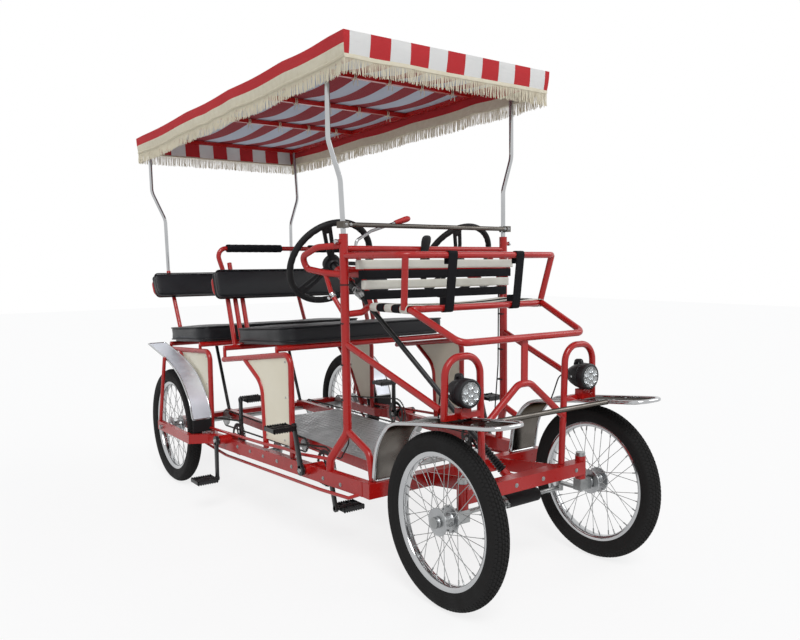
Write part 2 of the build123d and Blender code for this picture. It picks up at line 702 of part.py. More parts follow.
hoop_outer = -hoop_x - hoop_half
hoop_inner = -hoop_x + hoop_half
hoop = tube([(hoop_outer, hoop_station, hoop_foot), (hoop_outer + 4, hoop_station, hoop_top),
             (hoop_inner - 4, hoop_station, hoop_top),
             (hoop_inner, hoop_station, hoop_foot)], tube_radius, 58.0)
leg_route = [(hoop_inner, hoop_station, hoop_foot - seat_gap), (hoop_inner + 8, hoop_station, foot_z)]
shelf_middle = fender_height(hoop_station - 8.0) + fender_skin + seat_gap + 9.0
lamp_shelf = bar((hoop_outer, hoop_station, shelf_middle), (hoop_inner, hoop_station, shelf_middle), 16.0,
                 18.0)
lamp_stand = block((-lamp_x - 20.0, lamp_face + 20.0, hoop_foot + 4.0),
                   (-lamp_x + 20.0, 12.0, lamp_height - lamp_radius - seat_gap))
hoop_leg = tube(leg_route, tube_radius)
nodes["lamp_hoops"] = group(both(hoop + lamp_shelf + lamp_stand), both(hoop_leg))
leg_clear = tube(leg_route, tube_radius + seat_gap)
arch = tube([(hoop_inner, hoop_station, 508.0), (-112.0, hoop_station, 570.0), (-26.0, hoop_station, 638.0),
             (26.0, hoop_station, 638.0), (112.0, hoop_station, 570.0), (-hoop_inner, hoop_station, 508.0)],
            tube_radius, [80.0, 44.0, 44.0, 80.0]) - leg_clear - mirrored(leg_clear)
arch_stay = bar((0, hoop_station, 632.0), (0, hoop_station, foot_bar[2] - tube_radius - seat_gap), 24.0, 8.0)
nodes["centre_hoop"] = parted(arch, -40.0, 40.0) + arch_stay


def lamp_shape():
    with BuildPart() as part:
        with BuildSketch(Plane.XZ):
            with BuildLine():
                Polyline((0, 0), (lamp_radius, 0), (lamp_radius, 30.0))
                ThreePointArc((lamp_radius, 30.0), (34.0, 72.0), (12.0, lamp_length))
                Polyline((12.0, lamp_length), (0, lamp_length), (0, 0))
            make_face()
        revolve(axis=Axis.Z)
    return Plane(origin=at(-lamp_x, lamp_face, lamp_height), z_dir=(0, 1, 0),
                 x_dir=(1, 0, 0)).location * part.part


nodes["headlamps"] = both(lamp_shape())

# ---- hand levers on the dash ----
brake_route = [(-300.0, post_station + 34.0, dash_heights[1] + tube_radius + seat_gap),
               (-296.0, 522.0, 1104.0),
               (-236.0, 522.0, 1134.0), (-92.0, 522.0, 1175.0)]
brake = tube(brake_route, thin_radius, [12.0, 60.0])
brake += block((-312.0, post_station, dash_heights[1] + 2.0),
               (-288.0, post_station + 44.0, dash_heights[1] + 16.0))
gear = bar((-36.0, post_station - 4.0, 1012.0), (-30.0, post_station - 22.0, 1118.0), 34.0, 14.0)
levers = [largest(lever - dash_space[0] - dash_space[1]) for lever in (brake, gear)]
nodes["hand_levers"] = group(*levers)

# ---- child bench ----
arm_route = [(-post_x, post_station, child_arm_height), (-child_half_width, child_front, child_arm_height),
             (child_half_width, child_front, child_arm_height), (post_x, post_station, child_arm_height)]
seat_station = child_front + 24.0
seat_side = [(-post_x, post_station, child_seat_height - 26.0),
             (-child_seat_x - 8.0, 474.0, child_seat_height - 20.0),
             (-child_seat_x, 448.0, child_seat_height), (-child_seat_x, seat_station, child_seat_height)]
seat_route = seat_side + flip(seat_side[::-1])
foot_route = [(-child_seat_x, seat_station, child_seat_height), (-foot_bar[0], foot_bar[1], foot_bar[2]),
              foot_bar, (child_seat_x, seat_station, child_seat_height)]
arm_bends = [45.0, 45.0]
seat_bends = [14.0, 22.0, 45.0, 45.0, 22.0, 14.0]
arm_loop = tube(arm_route, tube_radius, arm_bends) - posts_clear
seat_loop = tube(seat_route, tube_radius, seat_bends) - posts_clear
arm_clear = tube(arm_route, tube_radius + seat_gap, arm_bends)
seat_clear = tube(seat_route, tube_radius + seat_gap, seat_bends)
foot_loop = tube(foot_route, tube_radius, 34.0) - seat_clear
upright = tube([(-child_half_width + 12.0, child_front + 8.0, child_arm_height),
                (-child_seat_x - 10.0, seat_station + 20.0,
                 child_seat_height)], tube_radius) - arm_clear - seat_clear
back_post = tube([(-child_half_width - back_flare, back_row, child_arm_height),
                  (-child_seat_x - 1.0, back_row, child_seat_height)], thin_radius) - arm_clear - seat_clear
child_parts = group(both(largest(back_post)), parted(arm_loop, -260.0, 260.0),
                    parted(seat_loop, -230.0, 230.0),
                    parted(foot_loop, -220.0, 220.0))
nodes["child_bench_frame"] = group(child_parts, both(largest(upright)))
bands = []
for n in range(back_bands):
    z = child_arm_height - 14.0 - n * band_pitch
    reach = child_seat_x + (child_half_width + back_flare - child_seat_x) * (z - child_seat_height) / (
        child_arm_height - child_seat_height) + thin_radius
    station = back_row - thin_radius - 3 * seat_gap
    bands.append(block((-reach, station - band_thickness, z - band_height), (reach, station, z)))
seat_top = child_seat_height + tube_radius + seat_gap
for n in range(seat_bands):
    station = seat_station + 4.0 + n * seat_pitch
    bands.append(block((-child_seat_x, station, seat_top),
                       (child_seat_x, station + seat_pitch - 4.0, seat_top + band_thickness)))
strap_top = child_front - tube_radius - seat_gap - band_thickness / 2
strap_foot = seat_station - tube_radius - 3 * seat_gap - band_thickness / 2
for x in (-strap_x, strap_x):
    bands.append(bar((x, strap_top, child_arm_height), (x, strap_foot, child_seat_height), strap_width,
                     band_thickness))
nodes["child_bench_webbing"] = group(*bands)

# ---- fenders ----
fender = bent_sheet(front_fender_line, -front_fender_x, front_fender_half, fender_skin)
nose_station, nose_height = front_fender_line[0]
nose_length = 2 * front_fender_line[-1][0] - 2 * nose_station
outline = RectangleRounded(2 * front_fender_half, nose_length, front_fender_corner)
spot = Pos(*at(-front_fender_x, nose_station + nose_length / 2, 0))
nodes["front_fenders"] = both(fender & (spot * extrude(outline, 2 * nose_height)))
strip_x = front_fender_x - front_fender_half
nodes["fender_strip"] = tube([(-strip_x + seat_gap, -125.0, 570.0), (strip_x - seat_gap, -125.0, 570.0)],
                             thin_radius)
nodes["rear_fenders"] = both(bent_sheet(rear_fender_line, -rear_track_half, rear_fender_half, fender_skin))
stay_top = -rear_track_half - rear_fender_half - thin_radius - seat_gap
fender_stay = tube([(-outer_stay_x, stay_foot, axle_height + stay_height / 2), (stay_top, *stay_head)],
                   thin_radius)
nodes["fender_stays"] = both(fender_stay - fork_clear)
low_station, low_height = rear_fender_line[-1]
flap = block((-rear_track_half - rear_fender_half, low_station - flap_thickness, low_height - flap_length),
             (-rear_track_half + rear_fender_half, low_station, low_height))
nodes["mudflaps"] = both(flap - step_space)

# ---- benches ----
stay_plane = back_thickness + seat_gap + stay_radius


def back_spot(row, up, x=0.0):
    """A point of the plane that carries a backrest: up along it from the pad's lower edge."""
    lean = radians(row["back_lean"])
    return (x, row["back_station"] + stay_plane * cos(lean) + up * sin(lean),
            row["back_low"] - stay_plane * sin(lean) + up * cos(lean))


def back_rise(row, height):
    """How far up a backrest's plane a height lies."""
    return (height - back_spot(row, 0)[2]) / cos(radians(row["back_lean"]))


def ring_place(row, inset):
    """Station and height of a cross tube under a tilted cushion."""
    tilt = radians(row["tilt"])
    return row["station"] + inset, row["low"] - inset * sin(tilt) - seat_gap / cos(tilt) - tube_radius - 1.0


def side_frame(row, foot):
    """A hooped leg frame in two tubes, the panel that fills it, and a way to find its top tube."""
    (front_x, front_s, front_z), (back_x, back_s, back_z) = row["frame"]

    def spot(s, z=None):
        share = (s - front_s) / (back_s - front_s)
        along = front_z + (back_z - front_z) * share
        return front_x + (back_x - front_x) * share, s, along if z is None else z

    hoop_route = [spot(front_s, foot), spot(front_s), spot(back_s)]
    joint = spot(row["joint"])
    knee = spot(row["knee"][0], row["knee"][1])
    back_route = [joint, knee, spot(row["foot"], foot)]
    hoop_space = tube(hoop_route, tube_radius + seat_gap, frame_bend)
    back_space = tube(back_route, tube_radius + seat_gap, knee_bend)
    outline = [hoop_route[0], hoop_route[1], joint, knee, back_route[-1]]
    face = make_face(Polyline(*[at(*p) for p in outline], close=True))
    side = at(*spot(back_s, 0)) - at(*spot(front_s, 0))
    normal = side.cross(Vector(0, 0, 1)).normalized()
    panel = extrude(face, panel_thickness / 2, dir=normal, both=True) - hoop_space - back_space
    panel -= block((2 * front_x, front_s - 50.0, 0), (0, back_s, foot + panel_lift))
    hoop_tube = tube(hoop_route, tube_radius, frame_bend)
    back_tube = tube(back_route, tube_radius, knee_bend) - hoop_space
    return hoop_tube, largest(back_tube), largest(panel), hoop_space, spot


panels = []
for label, row in bench_rows.items():
    tilt = radians(row["tilt"])
    cushion = Box(2 * row["half"], row["depth"], cushion_thickness)
    cushion = Pos(0, row["depth"] / 2, cushion_thickness / 2) * fillet(cushion.edges().filter_by(Axis.Z),
                                                                       cushion_corner)
    seat_plane = Plane(origin=at(0, row["station"], row["low"]), z_dir=(0, sin(tilt), cos(tilt)),
                       x_dir=(1, 0, 0))
    nodes[f"seat_cushion_{label}"] = seat_plane.location * cushion
    foot = (rail_top if label == "front" else axle_height + stay_height / 2 + seat_gap) - row["foot_drop"]
    hoop_tube, back_tube, panel, hoop_space, spot = side_frame(row, foot)
    panels.append(both(panel))
    pieces = [both(hoop_tube - rail_clear - fork_clear), both(back_tube - rail_clear - fork_clear)]
    for inset in (ring_inset, row["depth"] - ring_inset):
        ring_s, ring_z = ring_place(row, inset)
        reach = max(-spot(ring_s)[0] + 3.0, row["stay_x"] + 54.0)
        ring_ends = [(-reach, ring_s, ring_z), (reach, ring_s, ring_z)]
        ring_space = tube(ring_ends, tube_radius + seat_gap)
        stub = pin(spot(ring_s), (spot(ring_s)[0], ring_s, ring_z), stub_radius)
        pieces += [tube(ring_ends, tube_radius), both(largest(stub - hoop_space - ring_space))]
    knee_up = back_rise(row, ring_z - 3.0)
    loop_half = row["back_half"] - tube_radius
    loop_low = back_spot(row, 2 * tube_radius, -loop_half)
    loop_high = back_spot(row, back_height - 2 * tube_radius, -loop_half)
    loop_route = [loop_low, loop_high, (loop_half, *loop_high[1:]), (loop_half, *loop_low[1:])]
    loop = sweep(*closed_loop(loop_route, stay_radius, 28.0))
    tall = [(-row["stay_x"] + offset, back_rise(row, top)) for offset, top in row["stays"]]
    if label == "front":
        tall.append((-grab_x, back_rise(row, grab_shoulder)))
    for x, up in tall:
        upper = [back_spot(row, knee_up, x), back_spot(row, up, x)]
        space = tube(upper, stay_radius + seat_gap)
        loop -= space + mirrored(space)
        if x != -grab_x:
            stay = tube([(x, ring_s, ring_z), *upper], stay_radius, 20.0)
            pieces.append(both(stay - ring_space))
    pieces.append(parted(loop, -loop_half + 50.0, loop_half - 50.0))
    if label == "front":
        rise = [(-grab_x, ring_s, ring_z), back_spot(row, knee_up, -grab_x),
                back_spot(row, back_rise(row, grab_shoulder), -grab_x)]
        top_left = (-grab_half, rise[-1][1] + 6.0, grab_height)
        grab_route = [*rise, top_left, (grab_half, *top_left[1:]), *flip(rise[::-1])]
        grab_bends = [20.0, 120.0, 36.0, 36.0, 120.0, 20.0]
        grab = tube(grab_route, stay_radius, grab_bends) - ring_space
        nodes["grab_rail"] = parted(grab, 12.0 - grab_half + 36.0, grab_half - 48.0)
        grab_space = tube(grab_route, stay_radius + seat_gap, grab_bends)
        foam = [pin((a, *top_left[1:]), (b, *top_left[1:]), foam_radius) for a, b in foam_spans]
        foam_bore = pin((-grab_half, *top_left[1:]), (grab_half, *top_left[1:]), stay_radius + seat_gap)
        nodes["grab_foam"] = group(*[piece - foam_bore for piece in foam])
    nodes[f"bench_frame_{label}"] = group(*pieces)
    lean = radians(row["back_lean"])
    pad_plane = Plane(origin=at(0, row["back_station"], row["back_low"]), z_dir=(0, sin(lean), cos(lean)),
                      x_dir=(1, 0, 0))
    pad = Box(2 * row["back_half"], back_thickness, back_height)
    pad = Pos(0, back_thickness / 2, back_height / 2) * fillet(pad.edges().filter_by(Axis.Y), back_corner)
    nodes[f"backrest_{label}"] = pad_plane.location * pad
    if label == "rear":
        brace = tube([(-centre_beam_x, ring_s, ring_z), (-centre_beam_x, brace_foot, beam_z)], thin_radius)
        beam_space = block((-centre_beam_x - centre_beam_width, wheelbase, 0),
                           (0, stay_end, centre_beam_top + seat_gap))
        nodes["rear_braces"] = both(brace - ring_space - beam_space)
nodes["backrest_front"] -= grab_space
nodes["side_panels"] = group(*panels)

# ---- canopy ----
def canopy_z(station):
    share = (station - canopy_nose) / (canopy_tail - canopy_nose)
    return canopy_front_height + (canopy_rear_height - canopy_front_height) * share


bar_x = canopy_half_width - canopy_skin - canopy_bar_inset
bar_drop = canopy_skin + canopy_bar / 2 + seat_gap * 2
rear_row = bench_rows["rear"]
stay_offset, stay_top_z = rear_row["stays"][1]
rear_stay_end = back_rise(rear_row, stay_top_z)
rear_foot = back_spot(rear_row, rear_stay_end, rear_row["stay_x"] - stay_offset)
foot_space = pin(back_spot(rear_row, rear_stay_end - 40.0, rear_foot[0]),
                 back_spot(rear_row, rear_stay_end + seat_gap, rear_foot[0]), stay_radius + 3.0)
pole_routes = []
for route in ([(post_x, post_station, post_top + seat_gap), *front_pole], [rear_foot, *rear_pole]):
    top_station = route[-1][1]
    route[-1] = (bar_x, top_station, canopy_z(top_station) - bar_drop - canopy_bar / 2 - 3 * seat_gap)
    pole_routes.append(route)
poles = [tube(route, pole_radius, [pole_bend, pole_bend]) for route in pole_routes]
poles[1] -= foot_space
nodes["canopy_poles"] = group(*[both(pole) for pole in poles])
cover = bar((0, canopy_nose, canopy_front_height - canopy_skin / 2),
            (0, canopy_tail, canopy_rear_height - canopy_skin / 2),
            2 * canopy_half_width, canopy_skin)
cover_parts = [cover]
edge_x = canopy_half_width - canopy_skin / 2
edge_drop = canopy_skin + seat_gap + valance_drop / 2
for side in (-1, 1):
    cover_parts.append(bar((side * edge_x, canopy_nose, canopy_front_height - edge_drop),
                           (side * edge_x, canopy_tail, canopy_rear_height - edge_drop), canopy_skin,
                           valance_drop))
end_x = canopy_half_width - canopy_skin - seat_gap
for station in (canopy_nose + canopy_skin, canopy_tail - canopy_skin):
    z = canopy_z(station) - canopy_skin - 2 * seat_gap
    cover_parts.append(block((-end_x, station - canopy_skin / 2, z - valance_drop),
                             (end_x, station + canopy_skin / 2, z)))
nodes["canopy_cover"] = group(*cover_parts)
first = canopy_bar_stations[0]
last = canopy_bar_stations[-1]
side_bar = bar((-bar_x, first, canopy_z(first) - bar_drop), (-bar_x, last, canopy_z(last) - bar_drop),
               canopy_bar, canopy_bar)
bar_end = bar_x - canopy_bar / 2 - seat_gap
crosses = [bar((-bar_end, s, canopy_z(s) - bar_drop), (bar_end, s, canopy_z(s) - bar_drop), canopy_bar,
               canopy_bar)
           for s in canopy_bar_stations]
nodes["canopy_bars"] = group(both(side_bar), *crosses)

# ---- write the parts ----
os.makedirs("parts", exist_ok=True)
for name, shape in nodes.items():
    export_step(shape, f"parts/{name}.step")
print(len(nodes), "nodes")
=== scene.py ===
import json
from math import atan2, cos, pi, radians, sin, sqrt

import bmesh
import bpy
from mathutils import Matrix, Vector


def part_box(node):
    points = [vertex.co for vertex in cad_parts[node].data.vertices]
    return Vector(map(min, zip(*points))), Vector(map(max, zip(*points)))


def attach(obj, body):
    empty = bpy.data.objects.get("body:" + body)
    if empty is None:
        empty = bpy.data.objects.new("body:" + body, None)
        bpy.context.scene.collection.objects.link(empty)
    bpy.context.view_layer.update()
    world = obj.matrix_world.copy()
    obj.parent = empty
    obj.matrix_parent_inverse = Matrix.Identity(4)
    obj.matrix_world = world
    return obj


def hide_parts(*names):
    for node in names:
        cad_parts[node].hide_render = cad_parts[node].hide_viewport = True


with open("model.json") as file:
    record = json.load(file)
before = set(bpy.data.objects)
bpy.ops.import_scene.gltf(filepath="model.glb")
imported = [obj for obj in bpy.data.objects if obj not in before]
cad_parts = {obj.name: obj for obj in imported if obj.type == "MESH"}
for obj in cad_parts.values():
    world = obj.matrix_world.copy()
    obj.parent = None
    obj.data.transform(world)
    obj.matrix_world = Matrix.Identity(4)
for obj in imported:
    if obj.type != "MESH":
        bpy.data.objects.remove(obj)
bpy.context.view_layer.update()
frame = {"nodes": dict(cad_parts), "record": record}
scene = bpy.context.scene
hinges = {joint["name"]: joint for joint in frame["record"]["behaviour"]["joints"]}
sides = {"right": -1, "left": 1}
print("frame loaded")

# ---- camera, lamps and floor ----
cameraSetup = {"place": (-1.721, -2.7275, 1.025), "yaw": 36.84, "pitch": 5.61, "roll": -0.36,
               "lens": 34.2, "sensor": 36.0, "shiftX": -0.0129, "shiftY": 0.0208, "clip": (0.05, 100)}
lightSetup = {"ambient": 0.50, "roomColour": "#F4F6FA", "floorColour": "#F2F2F2", "keyPower": 1.75, "keySoftness": 28,
              "keyTurn": (42, 0, -28), "fillPower": 0.55, "fillTurn": (62, 0, 62), "floorSize": 30.0,
              "floorGlow": 0.80}


def linear(hexColour):
    values = [int(hexColour[i:i + 2], 16) / 255 for i in (1, 3, 5)]
    return tuple(v / 12.92 if v <= 0.04045 else ((v + 0.055) / 1.055) ** 2.4 for v in values) + (1.0,)


def addNode(tree, kind, sockets=None, **settings):
    # one node with its settings, and its sockets set to a value or linked from another socket
    node = tree.nodes.new(kind)
    for key, value in settings.items():
        setattr(node, key, value)
    for key, value in (sockets or {}).items():
        if isinstance(value, bpy.types.NodeSocket):
            tree.links.new(value, node.inputs[key])
        else:
            node.inputs[key].default_value = value
    return node


def emptyTree(owner):
    owner.use_nodes = True
    owner.node_tree.nodes.clear()
    return owner.node_tree


def addObject(name, data):
    made = bpy.data.objects.new(name, data)
    scene.collection.objects.link(made)
    return made


def rayShare(tree, *kinds):
    # one for rays of these kinds, nothing for all others
    path = addNode(tree, "ShaderNodeLightPath")
    share = path.outputs[kinds[0]]
    for kind in kinds[1:]:
        share = addNode(tree, "ShaderNodeMath", {0: share, 1: path.outputs[kind]}, operation="MAXIMUM").outputs[0]
    return share


def makeCamera(setup):
    data = bpy.data.cameras.new("mainCamera")
    data.sensor_width, data.lens = setup["sensor"], setup["lens"]
    data.shift_x, data.shift_y = setup["shiftX"], setup["shiftY"]
    data.clip_start, data.clip_end = setup["clip"]
    yaw, pitch, roll = (radians(setup[key]) for key in ("yaw", "pitch", "roll"))
    forward = Vector((sin(yaw) * cos(pitch), cos(yaw) * cos(pitch), -sin(pitch)))
    across = Vector((cos(yaw), -sin(yaw), 0))
    up = across.cross(forward)
    rolledAcross = cos(roll) * across + sin(roll) * up
    rolledUp = cos(roll) * up - sin(roll) * across
    turn = Matrix((rolledAcross, rolledUp, -forward)).transposed()
    scene.camera = addObject("mainCamera", data)
    scene.camera.matrix_world = Matrix.Translation(setup["place"]) @ turn.to_4x4()


def makeLight(setup):
    world = bpy.data.worlds.new("paleRoom")
    tree = emptyTree(world)
    seen = rayShare(tree, "Is Camera Ray", "Is Transmission Ray", "Is Glossy Ray")
    room = addNode(tree, "ShaderNodeBackground", {"Color": linear(setup["roomColour"]), "Strength": setup["ambient"]})
    white = addNode(tree, "ShaderNodeBackground", {"Color": (1, 1, 1, 1), "Strength": 1.0})
    mixed = addNode(tree, "ShaderNodeMixShader", {0: seen, 1: room.outputs[0], 2: white.outputs[0]})
    addNode(tree, "ShaderNodeOutputWorld", {0: mixed.outputs[0]})
    scene.world = world
    for name, power, turn in (("keyLamp", setup["keyPower"], setup["keyTurn"]),
                              ("fillLamp", setup["fillPower"], setup["fillTurn"])):
        data = bpy.data.lights.new(name, "SUN")
        data.energy, data.angle = power, radians(setup["keySoftness"])
        addObject(name, data).rotation_euler = [radians(angle) for angle in turn]


def makeFloor(setup):
    material = bpy.data.materials.new("paleStudioFloor")
    tree = emptyTree(material)
    seen = rayShare(tree, "Is Camera Ray", "Is Glossy Ray")
    share = addNode(tree, "ShaderNodeMath", {0: seen, 1: setup["floorGlow"]}, operation="MULTIPLY")
    matt = addNode(tree, "ShaderNodeBsdfDiffuse", {"Color": linear(setup["floorColour"])})
    glow = addNode(tree, "ShaderNodeEmission", {"Color": (1, 1, 1, 1), "Strength": 1.0})
    mixed = addNode(tree, "ShaderNodeMixShader", {0: share.outputs[0], 1: matt.outputs[0], 2: glow.outputs[0]})
    addNode(tree, "ShaderNodeOutputMaterial", {0: mixed.outputs[0]})
    half = setup["floorSize"] / 2
    mesh = bpy.data.meshes.new("studioFloor")
    mesh.from_pydata([(-half, -half, 0), (half, -half, 0), (half, half, 0), (-half, half, 0)], [], [(0, 1, 2, 3)])
    mesh.materials.append(material)
    addObject("studioFloor", mesh)


scene.view_settings.view_transform = "Standard"
makeCamera(cameraSetup)
makeLight(lightSetup)
makeFloor(lightSetup)
print("camera, lamps and floor ready")

# ---- finishes ----
# colour pairs run from the main colour to the shade it wears or mottles to; metal and coat are 0 unless given
finishes = {
    # Wet-looking signal red: a clear coat gives sharp highlights along the tubes
    "glossEnamelRed": {"colours": ("#AE1713", "#981210"), "rough": (0.22, 0.34), "mottle": 9,
                       "grain": ("noise", 900, 0.00006), "coat": 0.2, "shine": 0.35},
    # Warm off-white sheet with an even, eggshell sheen
    "creamPowderCoat": {"colours": ("#E6E0CC", "#DAD3BD"), "rough": (0.38, 0.5), "mottle": 7,
                        "grain": ("noise", 1100, 0.00005), "coat": 0.1},
    # Black brushed-on enamel with soft highlights and a faint orange peel
    "satinBlackEnamel": {"colours": ("#0E0F11", "#17181A"), "rough": (0.3, 0.45), "mottle": 12,
                         "grain": ("noise", 1200, 0.00005), "coat": 0.15, "shine": 0.35},
    # Bright sheet steel that mirrors dark ground; its brown-grey colour with light streaks and its dark edge tint are
    # a painted reflection of that ground
    "polishedStainless": {"colours": ("#77736E", "#57534F"), "rough": (0.16, 0.30), "metal": 1, "mottle": 14,
                          "grain": ("noise", 700, 0.00002), "edge": "#6E6A66"},
    # Sheet steel with a soft haze; its pale, cool colour is a painted reflection of bright sky, so it stays pale
    # beside dark neighbours
    "satinStainless": {"colours": ("#E4E8F0", "#D6DAE2"), "rough": (0.46, 0.58), "metal": 1, "mottle": 14,
                       "grain": ("noise", 900, 0.00003)},
    # Clean mirror with a trace of haze, brightest metal on the vehicle
    "chromePlate": {"colours": ("#C2C3C4", "#A9ABAD"), "rough": (0.06, 0.14), "metal": 1, "mottle": 10,
                    "grain": ("noise", 600, 0.00001)},
    # Dull silver of plated bolts and hubs, blotched where hands and weather touch it
    "zincPlatedSteel": {"colours": ("#A9ABAA", "#8C8E8F"), "rough": (0.28, 0.45), "metal": 1, "mottle": 30,
                        "grain": ("noise", 1500, 0.00004)},
    # Pale grey tread plate with a broad, soft shine
    "brushedAluminium": {"colours": ("#B4B6B7", "#A0A2A4"), "rough": (0.3, 0.42), "metal": 1, "mottle": 16,
                         "grain": ("noise", 1800, 0.00005)},
    # Dark oily steel, links going from grey to nearly black
    "oiledChainSteel": {"colours": ("#6E6E6C", "#3B3A38"), "rough": (0.35, 0.6), "metal": 1, "mottle": 90,
                        "grain": ("noise", 1500, 0.00006)},
    # Flat charcoal rubber, dustier where the tread meets the road
    "vulcanisedTyreRubber": {"colours": ("#141415", "#222120"), "rough": (0.72, 0.88), "mottle": 22,
                             "grain": ("noise", 1400, 0.00015), "shine": 0.2},
    # Deep matt black with a fine skin
    "mouldedBlackRubber": {"colours": ("#0E0E0F", "#18181A"), "rough": (0.55, 0.7), "mottle": 18,
                           "grain": ("noise", 1300, 0.00012), "shine": 0.25},
    # Soft black foam full of small pores, almost without shine
    "closedCellFoam": {"colours": ("#0E0F12", "#191A1F"), "rough": (0.82, 0.92), "mottle": 60,
                       "grain": ("cells", 1100, 0.0003), "shine": 0.15},
    # Near-black leathercloth with a small grain that breaks up its sheen
    "grainedBlackVinyl": {"colours": ("#0B0C10", "#13151A"), "rough": (0.36, 0.5), "mottle": 8,
                          "grain": ("cells", 620, 0.00022), "coat": 0.05, "shine": 0.3},
    # Black ribbed band, matt and slightly fibrous
    "blackPolyesterWebbing": {"colours": ("#0F0F11", "#1B1B1F"), "rough": (0.75, 0.88), "mottle": 30,
                              "grain": ("weave", 1700, 0.0003), "shine": 0.15},
    # Off-white ribbed band, matt, a little greyed by use
    "whitePolyesterWebbing": {"colours": ("#DEDDD4", "#CFCDC2"), "rough": (0.75, 0.88), "mottle": 30,
                              "grain": ("weave", 1700, 0.0003), "shine": 0.2},
    # Unbleached cotton cord and braid, fluffy and warm
    "creamCotton": {"colours": ("#E9E3D0", "#D6CDB4"), "rough": (0.85, 0.95), "mottle": 45,
                    "grain": ("weave", 2200, 0.0002), "shine": 0.15},
    # Soft red grip with a dull sheen
    "redGripRubber": {"colours": ("#B5201E", "#9C1A19"), "rough": (0.5, 0.65), "mottle": 25,
                      "grain": ("noise", 1200, 0.0001)},
    # Smooth black plastic, faint texture and a quiet highlight
    "mouldedBlackAbs": {"colours": ("#0D0E10", "#15161A"), "rough": (0.4, 0.55), "mottle": 10,
                        "grain": ("noise", 1600, 0.00008), "shine": 0.35},
}


# how every finish drifts between its shades and how its relief is cut
relief = {"driftLow": 0.35, "driftHigh": 0.65, "driftDetail": 4.0, "coatRough": 0.12, "cellEdge": 0.25,
          "weaveBands": 6, "weaveWander": 0.4, "weaveDetail": 1.0, "speckDetail": 3.0}


def grainHeight(tree, place, grain, scale):
    # the fine relief, in object space: specks, leather cells or a plain weave
    if grain == "cells":
        cells = addNode(tree, "ShaderNodeTexVoronoi", {"Vector": place, "Scale": scale}, feature="DISTANCE_TO_EDGE")
        return addNode(tree, "ShaderNodeMath", {0: cells.outputs["Distance"], 1: relief["cellEdge"]},
                       operation="MINIMUM").outputs[0]
    if grain == "weave":
        bands = [addNode(tree, "ShaderNodeTexWave", {"Vector": place, "Scale": scale / relief["weaveBands"],
                                                     "Distortion": relief["weaveWander"],
                                                     "Detail": relief["weaveDetail"]},
                         bands_direction=way).outputs["Fac"] for way in ("X", "Y", "Z")]
        first = addNode(tree, "ShaderNodeMath", {0: bands[0], 1: bands[1]}, operation="MAXIMUM")
        return addNode(tree, "ShaderNodeMath", {0: first.outputs[0], 1: bands[2]}, operation="ADD").outputs[0]
    return addNode(tree, "ShaderNodeTexNoise", {"Vector": place, "Scale": scale,
                                                "Detail": relief["speckDetail"]}).outputs["Fac"]


def startMaterial(name):
    material = bpy.data.materials.new(name)
    tree = emptyTree(material)
    return material, tree, addNode(tree, "ShaderNodeTexCoord").outputs["Object"]


def endMaterial(tree, colour, rough, height, depth, facts):
    bump = addNode(tree, "ShaderNodeBump", {"Height": height, "Distance": depth, "Strength": 1.0})
    shader = addNode(tree, "ShaderNodeBsdfPrincipled", {"Base Color": colour, "Roughness": rough,
                                                        "Normal": bump.outputs[0],
                                                        "Metallic": float(facts.get("metal", 0)),
                                                        "Coat Weight": facts.get("coat", 0),
                                                        "Coat Roughness": relief["coatRough"],
                                                        "Specular IOR Level": facts.get("shine", 0.5),
                                                        "Specular Tint": linear(facts.get("edge", "#FFFFFF"))})
    addNode(tree, "ShaderNodeOutputMaterial", {0: shader.outputs[0]})


def mottled(tree, place, colours, scale):
    # a slow drift from the main colour to its worn shade
    drift = addNode(tree, "ShaderNodeTexNoise", {"Vector": place, "Scale": scale,
                                                 "Detail": relief["driftDetail"]}).outputs["Fac"]
    mix = addNode(tree, "ShaderNodeMix", {0: drift, 6: linear(colours[0]), 7: linear(colours[1])}, data_type="RGBA")
    return drift, mix.outputs[2]


def makeFinish(name, facts):
    material, tree, place = startMaterial(name)
    drift, colour = mottled(tree, place, facts["colours"], facts["mottle"])
    low, high = facts["rough"]
    rough = addNode(tree, "ShaderNodeMapRange", {0: drift, 1: relief["driftLow"], 2: relief["driftHigh"], 3: low,
                                                 4: high}).outputs[0]
    grain, scale, depth = facts["grain"]
    endMaterial(tree, colour, rough, grainHeight(tree, place, grain, scale), depth, facts)
    return material


finish = {name: makeFinish(name, facts) for name, facts in finishes.items()}

# the two underside colours are painted shade: a darker red and a bluish white that stand in for the shade under the
# cloth
canopyCloth = {"red": "#C4272D", "redDeep": "#B32127", "white": "#E8E8E6", "whiteDeep": "#DADAD8",
               "paintedShadeRed": "#8A1D28", "paintedShadeWhite": "#B3B9C6", "paintedShadeTilt": -0.3,
               "stripe": 0.078, "weave": 1500, "depth": 0.00025, "rough": 0.85}


